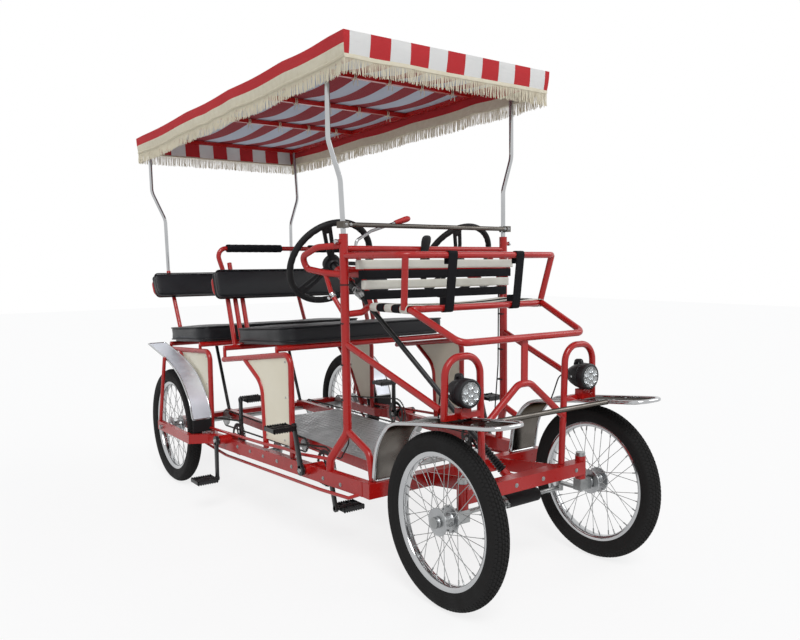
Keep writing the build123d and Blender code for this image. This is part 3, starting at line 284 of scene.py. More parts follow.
def makeStripedCanvas(facts):
    # woven acrylic awning cloth with stripes along the vehicle, matt with a faint weave, with painted shade in
    # darker, bluish colours on its downward faces
    material, tree, place = startMaterial("stripedAwningCanvas")
    across = addNode(tree, "ShaderNodeSeparateXYZ", {0: place}).outputs["X"]
    reach = addNode(tree, "ShaderNodeMath", {0: across}, operation="ABSOLUTE").outputs[0]
    moved = addNode(tree, "ShaderNodeMath", {0: reach, 1: facts["stripe"] / 2}, operation="ADD").outputs[0]
    turns = addNode(tree, "ShaderNodeMath", {0: moved, 1: 2 * facts["stripe"]}, operation="DIVIDE").outputs[0]
    part = addNode(tree, "ShaderNodeMath", {0: turns}, operation="FRACT").outputs[0]
    isRed = addNode(tree, "ShaderNodeMath", {0: part, 1: 0.5}, operation="LESS_THAN").outputs[0]
    red = mottled(tree, place, (facts["red"], facts["redDeep"]), 6)[1]
    white = mottled(tree, place, (facts["white"], facts["whiteDeep"]), 6)[1]
    upper = addNode(tree, "ShaderNodeMix", {0: isRed, 6: white, 7: red}, data_type="RGBA").outputs[2]
    under = addNode(tree, "ShaderNodeMix", {0: isRed, 6: linear(facts["paintedShadeWhite"]), 7: linear(facts["paintedShadeRed"])},
                    data_type="RGBA").outputs[2]
    # painted shade: faces that point down take the darker underside colours instead of the lit stripes
    facing = addNode(tree, "ShaderNodeNewGeometry").outputs["True Normal"]
    tilt = addNode(tree, "ShaderNodeSeparateXYZ", {0: facing}).outputs["Z"]
    inPaintedShade = addNode(tree, "ShaderNodeMath", {0: tilt, 1: facts["paintedShadeTilt"]}, operation="LESS_THAN").outputs[0]
    colour = addNode(tree, "ShaderNodeMix", {0: inPaintedShade, 6: upper, 7: under}, data_type="RGBA").outputs[2]
    height = grainHeight(tree, place, "weave", facts["weave"])
    endMaterial(tree, colour, facts["rough"], height, facts["depth"], {})
    return material


finish["stripedAwningCanvas"] = makeStripedCanvas(canopyCloth)


lensPlastic = {"Base Color": linear("#F4F7F8"), "Roughness": 0.04, "Transmission Weight": 0.92, "IOR": 1.58}


def makeClearLens(facts):
    # clear polycarbonate over the lamp's reflectors
    material = bpy.data.materials.new("clearPolycarbonate")
    material.use_nodes = True
    for key, value in facts.items():
        material.node_tree.nodes["Principled BSDF"].inputs[key].default_value = value
    return material


finish["clearPolycarbonate"] = makeClearLens(lensPlastic)
print("finishes ready")


# ---- mesh helpers ----
def meshFrom(shape, name):
    mesh = bpy.data.meshes.new(name)
    shape.to_mesh(mesh)
    shape.free()
    return mesh


def finishMesh(shape, name, materialName, sharp=38):
    bmesh.ops.recalc_face_normals(shape, faces=shape.faces)
    return dressMesh(meshFrom(shape, name), materialName, sharp)


def dressMesh(mesh, materialName, sharp=38):
    if materialName:
        mesh.materials.clear()
        mesh.materials.append(finish[materialName])
    mesh.shade_smooth()
    mesh.set_sharp_from_angle(angle=radians(sharp))
    return mesh


def place(mesh, name, body, slot, replaced=()):
    piece = addObject(name, mesh)
    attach(piece, body)
    if replaced:
        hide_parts(*replaced)
    return piece


def addPiece(shape, name, materialName, slot, sharp=38, spot=None, body="frame", replaced=()):
    mesh = finishMesh(shape, name, materialName, sharp)
    return place(moveMesh(mesh, spot) if spot else mesh, name, body, slot, replaced)


def bridge(shape, rings, closed=False, capped=True, looped=True):
    # faces between rings of the same count, and a lid on each open end
    for here, after in zip(rings, rings[1:] + rings[:1] if closed else rings[1:]):
        for k in range(len(here) if looped else len(here) - 1):
            m = (k + 1) % len(here)
            shape.faces.new((here[k], here[m], after[m], after[k]))
    if capped and not closed:
        shape.faces.new(rings[0][::-1])
        shape.faces.new(rings[-1])


def spin(shape, profile, segments, turn=None, closed=True):
    # profile points (x, radius) turned about the X axis
    rings = []
    for k in range(segments):
        angle = 2 * pi * k / segments
        rings.append([shape.verts.new((x, r * cos(angle), r * sin(angle)))
                      for x, r in (profile if turn is None else turn(k, profile))])
    bridge(shape, rings, closed=True, looped=closed)
    if not closed:
        for n, flip in ((0, False), (len(profile) - 1, True)):
            if profile[n][1] > 1e-6:
                loop = [ring[n] for ring in rings]
                shape.faces.new(loop[::-1] if flip else loop)
    bmesh.ops.remove_doubles(shape, verts=shape.verts, dist=1e-6)


def addSpin(shape, profile, segments, matrix=Matrix()):
    # a turned solid set into a shape at a place of its own
    part = bmesh.new()
    spin(part, profile, segments, closed=False)
    bmesh.ops.transform(part, matrix=matrix, verts=part.verts)
    mesh = meshFrom(part, "part")
    shape.from_mesh(mesh)
    bpy.data.meshes.remove(mesh)


def roundedRoute(points, bend, steps=6):
    # straight runs with arcs of that radius at the corners
    points = [Vector(p) for p in points]
    bends = bend if isinstance(bend, (list, tuple)) else [bend] * (len(points) - 2)
    route = [points[0]]
    for before, here, after, radius in zip(points, points[1:], points[2:], bends):
        a, b = (before - here).normalized(), (after - here).normalized()
        angle = a.angle(b)
        reach = min(radius / max(1e-6, sin(angle / 2) / cos(angle / 2)), 0.49 * (before - here).length,
                    0.49 * (after - here).length)
        start, end = here + a * reach, here + b * reach
        for n in range(steps + 1):
            t = n / steps
            route.append((1 - t) ** 2 * start + 2 * t * (1 - t) * here + t * t * end)
    return route + [points[-1]]


def sweep(shape, route, outline, closed=False, capped=True, up=Vector((0, 0, 1))):
    # an outline of (side, lift) points carried along a route without twist
    route = [Vector(p) for p in route]
    count = len(route)
    rings, side = [], None
    for n, spot in enumerate(route):
        before = route[n - 1] if n or closed else spot
        after = route[(n + 1) % count] if n < count - 1 or closed else spot
        way = (after - before).normalized()
        if side is None:
            side = way.cross(up if abs(way.dot(up)) < 0.95 else Vector((1, 0, 0)))
        side = (side - way * side.dot(way)).normalized()
        lift = side.cross(way)
        rings.append([shape.verts.new(spot + side * a + lift * b) for a, b in outline])
    bridge(shape, rings, closed, capped)
    return rings


def circle(radius, count=12):
    return [(radius * cos(2 * pi * k / count), radius * sin(2 * pi * k / count)) for k in range(count)]


def box(shape, low, high, matrix=Matrix()):
    made = bmesh.ops.create_cube(shape, size=1.0)["verts"]
    middle, size = (Vector(low) + Vector(high)) / 2, Vector(high) - Vector(low)
    for vert in made:
        vert.co = matrix @ (middle + Vector([a * b for a, b in zip(vert.co, size)]))
    return made


def bevelAll(shape, width, segments=2):
    sharpEdges = [e for e in shape.edges if len(e.link_faces) == 2 and e.calc_face_angle(0) > 0.6]
    bmesh.ops.bevel(shape, geom=sharpEdges, offset=width, segments=segments, affect="EDGES", clamp_overlap=True)


def lookAlong(origin, way, side=Vector((0, 0, 1))):
    # a frame whose X axis points along way
    way = Vector(way).normalized()
    second = (Vector(side) - way * way.dot(Vector(side))).normalized()
    third = way.cross(second)
    return Matrix.Translation(origin) @ Matrix((way, second, third)).transposed().to_4x4()


def middleOf(node):
    low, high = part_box(node)
    return (low + high) / 2


# ---- geometry node trees for what repeats ----
def startTree(name, **inputs):
    tree = bpy.data.node_groups.new(name, "GeometryNodeTree")
    tree.interface.new_socket("Geometry", in_out="OUTPUT", socket_type="NodeSocketGeometry")
    for title, kind in {"Geometry": "Geometry", **inputs}.items():
        tree.interface.new_socket(title, in_out="INPUT", socket_type="NodeSocket" + kind)
    return tree, addNode(tree, "NodeGroupInput").outputs


def endTree(tree, source, shape):
    solid = addNode(tree, "GeometryNodeRealizeInstances", {0: shape}).outputs[0]
    dressed = addNode(tree, "GeometryNodeSetMaterial", {"Geometry": solid, "Material": source["Material"]})
    addNode(tree, "NodeGroupOutput", {0: dressed.outputs[0]})
    return tree


def makeRoundTree():
    # copies of one item turned about the X axis
    tree, source = startTree("repeatRound", Item="Object", Count="Int", Material="Material")
    points = addNode(tree, "GeometryNodePoints", {"Count": source["Count"]}).outputs[0]
    item = addNode(tree, "GeometryNodeObjectInfo", {"Object": source["Item"]}).outputs["Geometry"]
    index = addNode(tree, "GeometryNodeInputIndex").outputs[0]
    share = addNode(tree, "ShaderNodeMath", {0: index, 1: source["Count"]}, operation="DIVIDE").outputs[0]
    angle = addNode(tree, "ShaderNodeMath", {0: share, 1: 2 * pi}, operation="MULTIPLY").outputs[0]
    turn = addNode(tree, "ShaderNodeCombineXYZ", {"X": angle}).outputs[0]
    copies = addNode(tree, "GeometryNodeInstanceOnPoints",
                     {"Points": points, "Instance": item, "Rotation": turn}).outputs[0]
    return endTree(tree, source, copies)


def makeLineTree():
    # copies of one item along a line, evenly spaced, with a little random lean and length
    tree, source = startTree("repeatAlong", Item="Object", Spacing="Float", Lean="Float", Stretch="Float",
                             Seed="Int", Follow="Bool", Material="Material")
    line = addNode(tree, "GeometryNodeMeshToCurve", {0: source["Geometry"]}).outputs[0]
    spots = addNode(tree, "GeometryNodeCurveToPoints", {"Curve": line, "Length": source["Spacing"]}, mode="LENGTH")
    item = addNode(tree, "GeometryNodeObjectInfo", {"Object": source["Item"]}).outputs["Geometry"]
    still = addNode(tree, "FunctionNodeEulerToRotation", {0: (0.0, 0.0, 0.0)}).outputs[0]
    faced = addNode(tree, "GeometryNodeSwitch", {0: source["Follow"], 1: still, 2: spots.outputs["Rotation"]},
                    input_type="ROTATION").outputs[0]
    minus = addNode(tree, "ShaderNodeMath", {0: source["Lean"], 1: -1.0}, operation="MULTIPLY").outputs[0]
    low, high = (addNode(tree, "ShaderNodeCombineXYZ", dict.fromkeys("XYZ", limit)).outputs[0]
                 for limit in (minus, source["Lean"]))
    lean = addNode(tree, "FunctionNodeRandomValue", {0: low, 1: high, "Seed": source["Seed"]},
                   data_type="FLOAT_VECTOR").outputs[0]
    short = addNode(tree, "ShaderNodeMath", {0: 1.0, 1: source["Stretch"]}, operation="SUBTRACT").outputs[0]
    length = addNode(tree, "FunctionNodeRandomValue", {2: short, 3: 1.0, "Seed": source["Seed"]},
                     data_type="FLOAT").outputs[1]
    size = addNode(tree, "ShaderNodeCombineXYZ", {"X": 1.0, "Y": 1.0, "Z": length}).outputs[0]
    copies = addNode(tree, "GeometryNodeInstanceOnPoints",
                     {"Points": spots.outputs["Points"], "Instance": item, "Rotation": faced,
                      "Scale": size}).outputs[0]
    leaned = addNode(tree, "GeometryNodeRotateInstances", {0: copies, "Rotation": lean}).outputs[0]
    return endTree(tree, source, leaned)


def makeSpotTree():
    # one item on every vertex, turned about Z by the vertex's own turn
    tree, source = startTree("repeatOnSpots", Item="Object", Material="Material")
    item = addNode(tree, "GeometryNodeObjectInfo", {"Object": source["Item"]}).outputs["Geometry"]
    turn = addNode(tree, "GeometryNodeInputNamedAttribute", {"Name": "turn"}, data_type="FLOAT_VECTOR").outputs[0]
    copies = addNode(tree, "GeometryNodeInstanceOnPoints",
                     {"Points": source["Geometry"], "Instance": item, "Rotation": turn}).outputs[0]
    return endTree(tree, source, copies)


roundTree, lineTree, spotTree = makeRoundTree(), makeLineTree(), makeSpotTree()


def bake(carrier):
    # the mesh as the carrier's modifiers leave it
    depsgraph = bpy.context.evaluated_depsgraph_get()
    mesh = bpy.data.meshes.new_from_object(carrier.evaluated_get(depsgraph))
    bpy.data.objects.remove(carrier)
    return mesh


def grow(tree, base, values, materialName, sharp=38):
    # runs a tree on a base mesh and returns the result as a plain mesh
    carrier = addObject("carrier", base)
    modifier = carrier.modifiers.new("repeat", "NODES")
    modifier.node_group = tree
    values = {**values, "Material": finish[materialName]}
    for item in tree.interface.items_tree:
        if item.in_out == "INPUT" and item.name in values:
            modifier[item.identifier] = values[item.name]
    bpy.context.view_layer.update()
    mesh = bake(carrier)
    bpy.data.objects.remove(values["Item"])
    return dressMesh(mesh, materialName, sharp)


def itemFrom(shape):
    bmesh.ops.recalc_face_normals(shape, faces=shape.faces)
    return addObject("item", meshFrom(shape, "item"))


def growRound(shape, count, materialName, sharp=30):
    # one item repeated round the X axis
    return grow(roundTree, bpy.data.meshes.new("seed"), {"Item": itemFrom(shape), "Count": count}, materialName,
                sharp)


def turnedMesh(profile, segments, materialName, sharp=30, closed=False, turn=None):
    shape = bmesh.new()
    spin(shape, profile, segments, turn, closed)
    return finishMesh(shape, "turned", materialName, sharp)


def lineMesh(route, closed=False):
    mesh = bpy.data.meshes.new("line")
    edges = [(n, n + 1) for n in range(len(route) - 1)] + ([(len(route) - 1, 0)] if closed else [])
    mesh.from_pydata([tuple(p) for p in route], edges, [])
    return mesh


def spotMesh(spots, turns):
    mesh = bpy.data.meshes.new("spots")
    mesh.from_pydata([tuple(p) for p in spots], [], [])
    turn = mesh.attributes.new("turn", "FLOAT_VECTOR", "POINT")
    for n in range(len(spots)):
        turn.data[n].vector = turns[n]
    return mesh


def moveMesh(mesh, matrix):
    mesh.transform(matrix)
    if matrix.determinant() < 0:
        mesh.flip_normals()
    return mesh


def joinMeshes(name, meshes):
    shape = bmesh.new()
    materials = []
    for mesh in meshes:
        base = len(materials)
        materials += mesh.materials[:]
        first = len(shape.faces)
        shape.from_mesh(mesh)
        shape.faces.ensure_lookup_table()
        for face in shape.faces[first:]:
            face.material_index += base
    joined = meshFrom(shape, name)
    for material in materials:
        joined.materials.append(material)
    return joined


# ---- better shading on the CAD pieces that stay ----
softShading = {"merge": 0.00001, "hardAngle": 32}


def makeSoftShading(facts):
    # joins the facets and shades them round, with sharp edges where faces turn hard
    tree, source = startTree("roundShading")
    merged = addNode(tree, "GeometryNodeMergeByDistance",
                     {"Geometry": source[0], "Distance": facts["merge"]}).outputs[0]
    angle = addNode(tree, "GeometryNodeInputMeshEdgeAngle").outputs[0]
    hard = addNode(tree, "FunctionNodeCompare", {0: angle, 1: radians(facts["hardAngle"])}, data_type="FLOAT",
                   operation="GREATER_THAN").outputs[0]
    smooth = addNode(tree, "GeometryNodeSetShadeSmooth", {"Geometry": merged}, domain="FACE").outputs[0]
    edged = addNode(tree, "GeometryNodeSetShadeSmooth", {"Geometry": smooth, "Selection": hard,
                                                         "Shade Smooth": False}, domain="EDGE").outputs[0]
    addNode(tree, "NodeGroupOutput", {0: edged})
    return tree


cadFinishes = {
    "glossEnamelRed": ["front_crossbeam", "cross_members", "side_rails", "rear_forks", "centre_beams", "posts",
                       "dash_frame", "elbow_guards", "step_rails", "lower_guards", "lamp_hoops", "centre_hoop",
                       "child_bench_frame", "bench_frame_front", "bench_frame_rear", "grab_rail", "fender_stays",
                       "canopy_bars"],
    "satinBlackEnamel": ["rear_braces"],
    "chromePlate": ["canopy_poles"],
    "satinStainless": ["rear_fenders"],
    "polishedStainless": ["front_fenders", "fender_strip", "wind_bar"],
    "zincPlatedSteel": ["rear_axle", "jackshafts", "knuckle_right", "knuckle_left", "tie_rod"],
    "creamPowderCoat": ["side_panels"],
    "brushedAluminium": ["floor_plate"],
    "mouldedBlackRubber": ["mudflaps"],
}


def dressCad():
    shading = makeSoftShading(softShading)
    for materialName, names in cadFinishes.items():
        for name in names:
            node = bpy.data.objects[name] if name in bpy.data.objects else frame["nodes"][name]
            for index in range(max(1, len(node.material_slots))):
                if node.material_slots:
                    node.material_slots[index].material = finish[materialName]
                else:
                    node.data.materials.append(finish[materialName])
            node.modifiers.new("roundShading", "NODES").node_group = shading


dressCad()
print("frame tubes dressed")

# ---- wheels ----
wheel = {"radius": 0.265, "crown": 0.0262, "drop": 0.0146, "seat": 0.2055, "segments": 480, "pitch": 4,
         "groove": 0.0031, "grooveHalf": 0.0009, "rows": (0.005, 0.013, 0.021), "spokeRadius": 0.0011,
         "spokeLead": 52, "spokes": 36, "flangeRadius": 0.042, "flangeOffset": 0.023, "rimInner": 0.190}


def tyreMesh(w):
    crown = [(x, w["radius"] - w["drop"] * (x / w["crown"]) ** 2.4)
             for x in (0, .0036, .0042, .0058, .0064, .0116, .0122, .0138, .0144, .0194, .0200, .0216, .0222, .0258)]
    wall = [(.0278, .2489), (.0296, .2445), (.0300, .2400), (.0299, .2350), (.0294, .2345), (.0293, .2300),
            (.0287, .2240), (.0280, .2236), (.0272, .2180), (.0245, .2120), (.0200, .2068), (.0158, .2056)]
    half = crown + wall
    profile = [(-x, r) for x, r in half[::-1] if x] + half
    profile += [(0.0145, w["seat"]), (-0.0145, w["seat"])]
    rows = w["rows"]

    def tread(k, points):
        made = []
        for x, r in points:
            reach = abs(x)
            if r > w["radius"] - 0.0145 and reach < w["crown"]:
                row = sum(reach > edge for edge in rows)
                between = any(abs(reach - edge) < w["grooveHalf"] for edge in rows)
                if between or (k + 2 * row) % w["pitch"] == 0:
                    r -= w["groove"]
            made.append((x, r))
        return made

    return turnedMesh(profile, w["segments"], "vulcanisedTyreRubber", closed=True, turn=tread)


def rimMesh():
    half = [(0, .1975), (.0130, .1990), (.0142, .2045), (.0152, .2078), (.0170, .2076), (.0175, .2030),
            (.0152, .1935), (.0105, .1898), (0, .1886)]
    return turnedMesh(half + [(-x, r) for x, r in half[::-1] if x], 160, "chromePlate", 40, closed=True)


def hubMesh():
    half = [(.0325, .0103), (.0325, .0150), (.0285, .0160), (.0262, .0170), (.0256, .0405), (.0246, .0420),
            (.0216, .0420), (.0206, .0405), (.0196, .0230), (.0150, .0200), (.0060, .0190)]
    return turnedMesh(half + [(-x, r) for x, r in half[::-1]], 64, "brushedAluminium", closed=True)


def spokeMesh(w):
    shape = bmesh.new()
    # four spokes, one for each flange and each lean, make the item that goes round
    for n in range(4):
        side = 1 if n % 2 else -1
        rimTurn = 2 * pi / w["spokes"] * n
        hubTurn = rimTurn + radians(w["spokeLead"]) * (1 if n // 2 % 2 else -1)
        root = w["flangeRadius"] - 0.005
        start = Vector((side * w["flangeOffset"], root * cos(hubTurn), root * sin(hubTurn)))
        end = Vector((side * 0.003, w["rimInner"] * cos(rimTurn), w["rimInner"] * sin(rimTurn)))
        way = (end - start).normalized()
        hook = start - Vector((side * 0.004, 0, 0))
        sweep(shape, [hook, start + Vector((side * 0.0016, 0, 0)), start + way * 0.006, end],
              circle(w["spokeRadius"], 7))
        sweep(shape, [end - way * 0.016, end - way * 0.013, end + way * 0.002], circle(0.0023, 8))
        sweep(shape, [hook, hook - Vector((side * 0.0015, 0, 0))], circle(0.0022, 8))
    return growRound(shape, w["spokes"] // 4, "zincPlatedSteel", 40)


def makeWheels(w):
    parts = {"tyre": tyreMesh(w), "rim": rimMesh(), "hub": hubMesh(), "spokes": spokeMesh(w)}
    for end in ("front", "rear"):
        for side in sides:
            body = f"wheel_{end}_{side}"
            spot = Matrix.Translation(middleOf(f"tyre_{end}_{side}"))
            for part, mesh in parts.items():
                replaced = {"tyre": [f"tyre_{end}_{side}"], "rim": [f"wire_wheel_{end}_{side}"]}.get(part, [])
                slot = "tyre_rubber" if part == "tyre" else "plain_steel"
                place(moveMesh(mesh.copy(), spot), f"{part}_{end}_{side}", body, slot, replaced)


makeWheels(wheel)
print("wheels ready")

# ---- canopy ----
canopy = {"rearDrop": 0.065, "band": 0.076, "sideRed": 0.034, "skin": 0.0012, "sag": 0.020, "edgeSag": 0.005,
          "fold": 0.15, "barX": 0.414, "round": 0.006, "edgeReach": 0.03, "ripple": 0.0035, "skirtIn": 0.010,
          "skirtBelly": 0.002, "cols": 44, "rows": 120, "skirtSteps": 8}
fringe = {"header": 0.012, "braid": 0.0022, "length": 0.050, "spacing": 0.0031, "radius": 0.0011, "lean": 0.10,
          "stretch": 0.16, "seed": 7}


def canopyTopAt(y):
    low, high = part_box("canopy_cover")
    share = (y - low.y) / (high.y - low.y)
    return high.z - canopy["rearDrop"] * share


def canopyBarStops():
    # where the cross bars lie, read from the bars' own corners
    heights = sorted({round(v.co.y, 3) for v in frame["nodes"]["canopy_bars"].data.vertices
                      if abs(v.co.x) < canopy["barX"] - 0.004})
    stops = []
    for y in heights:
        if not stops or y - stops[-1][-1] > 0.05:
            stops.append([y])
        else:
            stops[-1].append(y)
    return [sum(group) / len(group) for group in stops]


def canopySag(x, y, stops, c):
    inside = max(0.0, 1 - (x / c["barX"]) ** 2) ** 0.7
    for a, b in zip(stops, stops[1:]):
        if a <= y <= b:
            fold = c["fold"] * sin(34 * x + 5 * a) * inside
            drop = c["sag"] * inside * (1 + fold) + c["edgeSag"] * (1 - inside)
            return drop * sin(pi * (y - a) / (b - a)) ** 1.3
    return 0.0


def makeCanopy(c):
    low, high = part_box("canopy_cover")
    stops = canopyBarStops()
    halfX, front, rear = high.x, low.y, high.y
    cols, rows, skirtSteps = c["cols"], c["rows"], c["skirtSteps"]
    shape = bmesh.new()
    grid = {}
    for i in range(cols + 1):
        for j in range(rows + 1):
            x = halfX * (-1 + 2 * i / cols)
            y = front + (rear - front) * j / rows
            edge = min(halfX - abs(x), y - front, rear - y)
            z = canopyTopAt(y) - canopySag(x, y, stops, c) - c["round"] * max(0.0, 1 - edge / c["edgeReach"]) ** 2
            grid[i, j] = shape.verts.new((x, y, z))
    for i in range(cols):
        for j in range(rows):
            shape.faces.new((grid[i, j], grid[i + 1, j], grid[i + 1, j + 1], grid[i, j + 1]))
    ring = [(i, 0) for i in range(cols)] + [(cols, j) for j in range(rows)]
    ring += [(i, rows) for i in range(cols, 0, -1)] + [(0, j) for j in range(rows, 0, -1)]
    walked = 0.0
    columns, marks = [], []
    for n, key in enumerate(ring):
        top = grid[key].co
        walked += (top - grid[ring[n - 1]].co).length if n else 0
        isSide, isEnd = key[0] in (0, cols), key[1] in (0, rows)
        out = Vector(((key[0] == cols) - (key[0] == 0), (key[1] == rows) - (key[1] == 0), 0)).normalized()
        wave = 0 if isSide and isEnd else c["ripple"] * sin(walked * 21 + 3 * sin(walked * 5.3))
        column = [grid[key]]
        for k in range(1, skirtSteps + 1):
            t = k / skirtSteps
            inward = -c["skirtIn"] * t + c["skirtBelly"] * sin(pi * t)
            column.append(shape.verts.new(top + out * (inward + wave * t) - Vector((0, 0, c["band"] * t))))
        columns.append(column)
        marks.append(isSide)
    for n in range(len(ring)):
        m = (n + 1) % len(ring)
        sideFace = marks[n] and marks[m] and ring[n][0] == ring[m][0]
        for k in range(skirtSteps):
            face = shape.faces.new((columns[n][k], columns[m][k], columns[m][k + 1], columns[n][k + 1]))
            depth = c["band"] * (k + 0.5) / skirtSteps
            face.material_index = 1 if sideFace and depth > c["sideRed"] else 0
    bmesh.ops.recalc_face_normals(shape, faces=shape.faces)
    hems = [column[-1].co.copy() for column in columns]
    mesh = meshFrom(shape, "canopySheet")
    mesh.materials.append(finish["stripedAwningCanvas"])
    mesh.materials.append(finish["creamCotton"])
    mesh.shade_smooth()
    mesh.set_sharp_from_angle(angle=radians(70))
    sheet = place(mesh, "canopySheet", "frame", "canopy_cloth", ["canopy_cover"])
    wall = sheet.modifiers.new("cloth", "SOLIDIFY")
    wall.thickness, wall.offset = c["skin"], -1
    return sheet, hems


def makeFringe(f, hems):
    # a cream braid along the hem and cords hanging from it
    braid, strand = bmesh.new(), bmesh.new()
    h, t, drop = f["header"], f["braid"], f["length"]
    outline = [(-t, -h / 2), (t, -h / 2), (t * 1.3, 0), (t, h / 2), (-t, h / 2), (-t * 1.3, 0)]
    sweep(braid, [p + Vector((0, 0, 0.002)) for p in hems], outline, closed=True)
    sweep(strand, [(0, 0, 0), (0.0006, 0, -drop * 0.3), (-0.0005, 0.0004, -drop * 0.65), (0.0003, 0, -drop)],
          circle(f["radius"], 5), up=Vector((0, 1, 0)))
    cords = grow(lineTree, lineMesh([p - Vector((0, 0, h / 2 - 0.003)) for p in hems], closed=True),
                 {"Item": itemFrom(strand), "Spacing": f["spacing"], "Lean": f["lean"], "Stretch": f["stretch"],
                  "Seed": f["seed"], "Follow": False}, "creamCotton", 60)
    joined = joinMeshes("canopyFringe", [finishMesh(braid, "braid", "creamCotton", 60), cords])
    return place(joined, "canopyFringe", "frame", "canopy_cloth")


canopySheet, canopyHems = makeCanopy(canopy)
canopyFringe = makeFringe(fringe, canopyHems)
print("canopy ready")

# ---- benches ----
seatPads = {"front": {"tilt": 4.2, "puff": 0.009}, "rear": {"tilt": 4.0, "puff": 0.009}}
seatShape = {"thickness": 0.074, "corner": 0.055, "inset": 0.004, "voxel": 0.006, "piping": 0.0033, "swell": 0.35,
             "seam": 0.003, "seamDrop": 0.002, "seamRise": 0.004, "fill": 0.75,
             "board": {"inset": 0.02, "from": 0.0005, "to": 0.011}}
backPads = {"front": {"lean": 18.0, "puff": 0.006}, "rear": {"lean": 27.0, "puff": 0.006}}
backShape = {"thickness": 0.040, "height": 0.128, "corner": 0.020, "inset": 0.003, "voxel": 0.006, "piping": 0.0028,
             "swell": 0.3, "seam": 0.0025, "seamDrop": 0, "seamRise": 0, "fill": 0.8}
padCloth = {"pressure": 4, "quality": 4, "frames": 20}


def roundedOutline(halfA, halfB, corner, steps=8):
    points = []
    for cx, cy, start in ((halfA - corner, halfB - corner, 0), (corner - halfA, halfB - corner, 90),
                          (corner - halfA, corner - halfB, 180), (halfA - corner, corner - halfB, 270)):
        for n in range(steps + 1):
            angle = radians(start + 90 * n / steps)
            points.append((cx + corner * cos(angle), cy + corner * sin(angle)))
    return points


def puffedPad(name, halfA, halfB, inset, cap, s):
    # a pad in its own frame: a and b across the face, z through it, swelled between two seam lines
    shape = bmesh.new()
    outline = roundedOutline(halfA - inset, halfB - inset, s["corner"])
    half, voxel = s["thickness"] / 2 - inset, s["voxel"]
    layers = ((-half, 0.004), (-half * 0.8, 0.0), (0, 0.0015), (half * 0.8, 0.0), (half, 0.004))
    bridge(shape, [[shape.verts.new((x * (1 - pull / halfA), y * (1 - pull / halfB), z)) for x, y in outline]
                   for z, pull in layers])
    carrier = addObject(name + "Carrier", meshFrom(shape, name))
    remesh = carrier.modifiers.new("remesh", "REMESH")
    remesh.mode, remesh.voxel_size = "VOXEL", voxel
    even = bake(carrier)
    start = [v.co.copy() for v in even.vertices]
    pad = addObject(name + "Sim", even)
    seam = pad.vertex_groups.new(name="seam")
    for index, co in enumerate(start):
        edge = max(abs(co.x) - halfA, abs(co.y) - halfB) + inset
        if abs(abs(co.z) - half) < voxel * 0.8 and edge > -voxel * 1.2:
            seam.add([index], 1.0, "REPLACE")
    settings = pad.modifiers.new("cloth", "CLOTH").settings
    settings.use_pressure = True
    settings.uniform_pressure_force = padCloth["pressure"]
    settings.quality = padCloth["quality"]
    settings.effector_weights.gravity = 0
    settings.vertex_group_mass = "seam"
    for step in range(1, padCloth["frames"] + 1):
        scene.frame_set(step)
    even = bake(pad)
    scene.frame_set(1)
    for vertex, before in zip(even.vertices, start):
        move = vertex.co - before
        if move.length > cap:
            vertex.co = before + move * (cap / move.length)
    return even


def softenPad(mesh, passes=2):
    shape = bmesh.new()
    shape.from_mesh(mesh)
    for _ in range(passes):
        bmesh.ops.smooth_vert(shape, verts=shape.verts, factor=0.5, use_axis_x=True, use_axis_y=True, use_axis_z=True)
    bmesh.ops.recalc_face_normals(shape, faces=shape.faces)
    shape.to_mesh(mesh)
    shape.free()
    mesh.shade_smooth()
    return mesh


def addPad(kind, label, cadName, puff, halfX, halfY, s, spot):
    # a swelled pad and the piping along its two seams
    inset = s["inset"] + puff * s["swell"]
    mesh = softenPad(puffedPad(f"{kind}Pad{label.title()}", halfX, halfY, inset, puff, s))
    mesh.materials.clear()
    mesh.materials.append(finish["grainedBlackVinyl"])
    piece = place(moveMesh(mesh, spot), f"{kind}Pad_{label}", "frame", "bench_vinyl", [cadName])
    seam, half = s["inset"] + s["seam"], s["thickness"] / 2 - inset
    piping = bmesh.new()
    for z in (half - s["seamDrop"], s["seamRise"] - half):
        sweep(piping, [(x, y, z) for x, y in roundedOutline(halfX - seam, halfY - seam, s["corner"])],
              circle(s["piping"], 8), closed=True)
    addPiece(piping, f"{kind}Piping_{label}", "grainedBlackVinyl", "bench_vinyl", 60, spot)


def makeSeats(s):
    for label, row in seatPads.items():
        low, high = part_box(f"seat_cushion_{label}")
        tilt = radians(row["tilt"])
        depth = (high.y - low.y - s["thickness"] * sin(tilt)) / cos(tilt)
        corner = Vector((0, low.y, high.z - s["thickness"] * cos(tilt)))
        turn = Matrix(((1, 0, 0), (0, cos(tilt), sin(tilt)), (0, -sin(tilt), cos(tilt)))).to_4x4()
        spot = Matrix.Translation(corner) @ turn @ Matrix.Translation((0, depth / 2, s["thickness"] / 2))
        addPad("seat", label, f"seat_cushion_{label}", row["puff"], high.x, depth / 2, s, spot)
        board, facts = bmesh.new(), s["board"]
        outline = roundedOutline(high.x - facts["inset"], depth / 2 - facts["inset"], s["corner"])
        bridge(board, [[board.verts.new((x, y, lift - s["thickness"] / 2)) for x, y in outline]
                       for lift in (facts["from"], facts["to"])])
        addPiece(board, f"seatBoard_{label}", "satinBlackEnamel", "black_plastic", 40, spot)


def makeBacks(s):
    for label, row in backPads.items():
        low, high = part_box(f"backrest_{label}")
        lean = radians(row["lean"])
        corner = Vector((0, low.y, high.z - s["height"] * cos(lean)))
        # local x across, local y up the pad, local z towards the sitter
        turn = Matrix(((1, 0, 0), (0, sin(lean), -cos(lean)), (0, cos(lean), sin(lean)))).to_4x4()
        spot = Matrix.Translation(corner) @ turn @ Matrix.Translation((0, s["height"] / 2, -s["thickness"] / 2))
        addPad("back", label, f"backrest_{label}", row["puff"], high.x, s["height"] / 2, s, spot)


makeSeats(seatShape)
makeBacks(backShape)
print("bench pads ready")


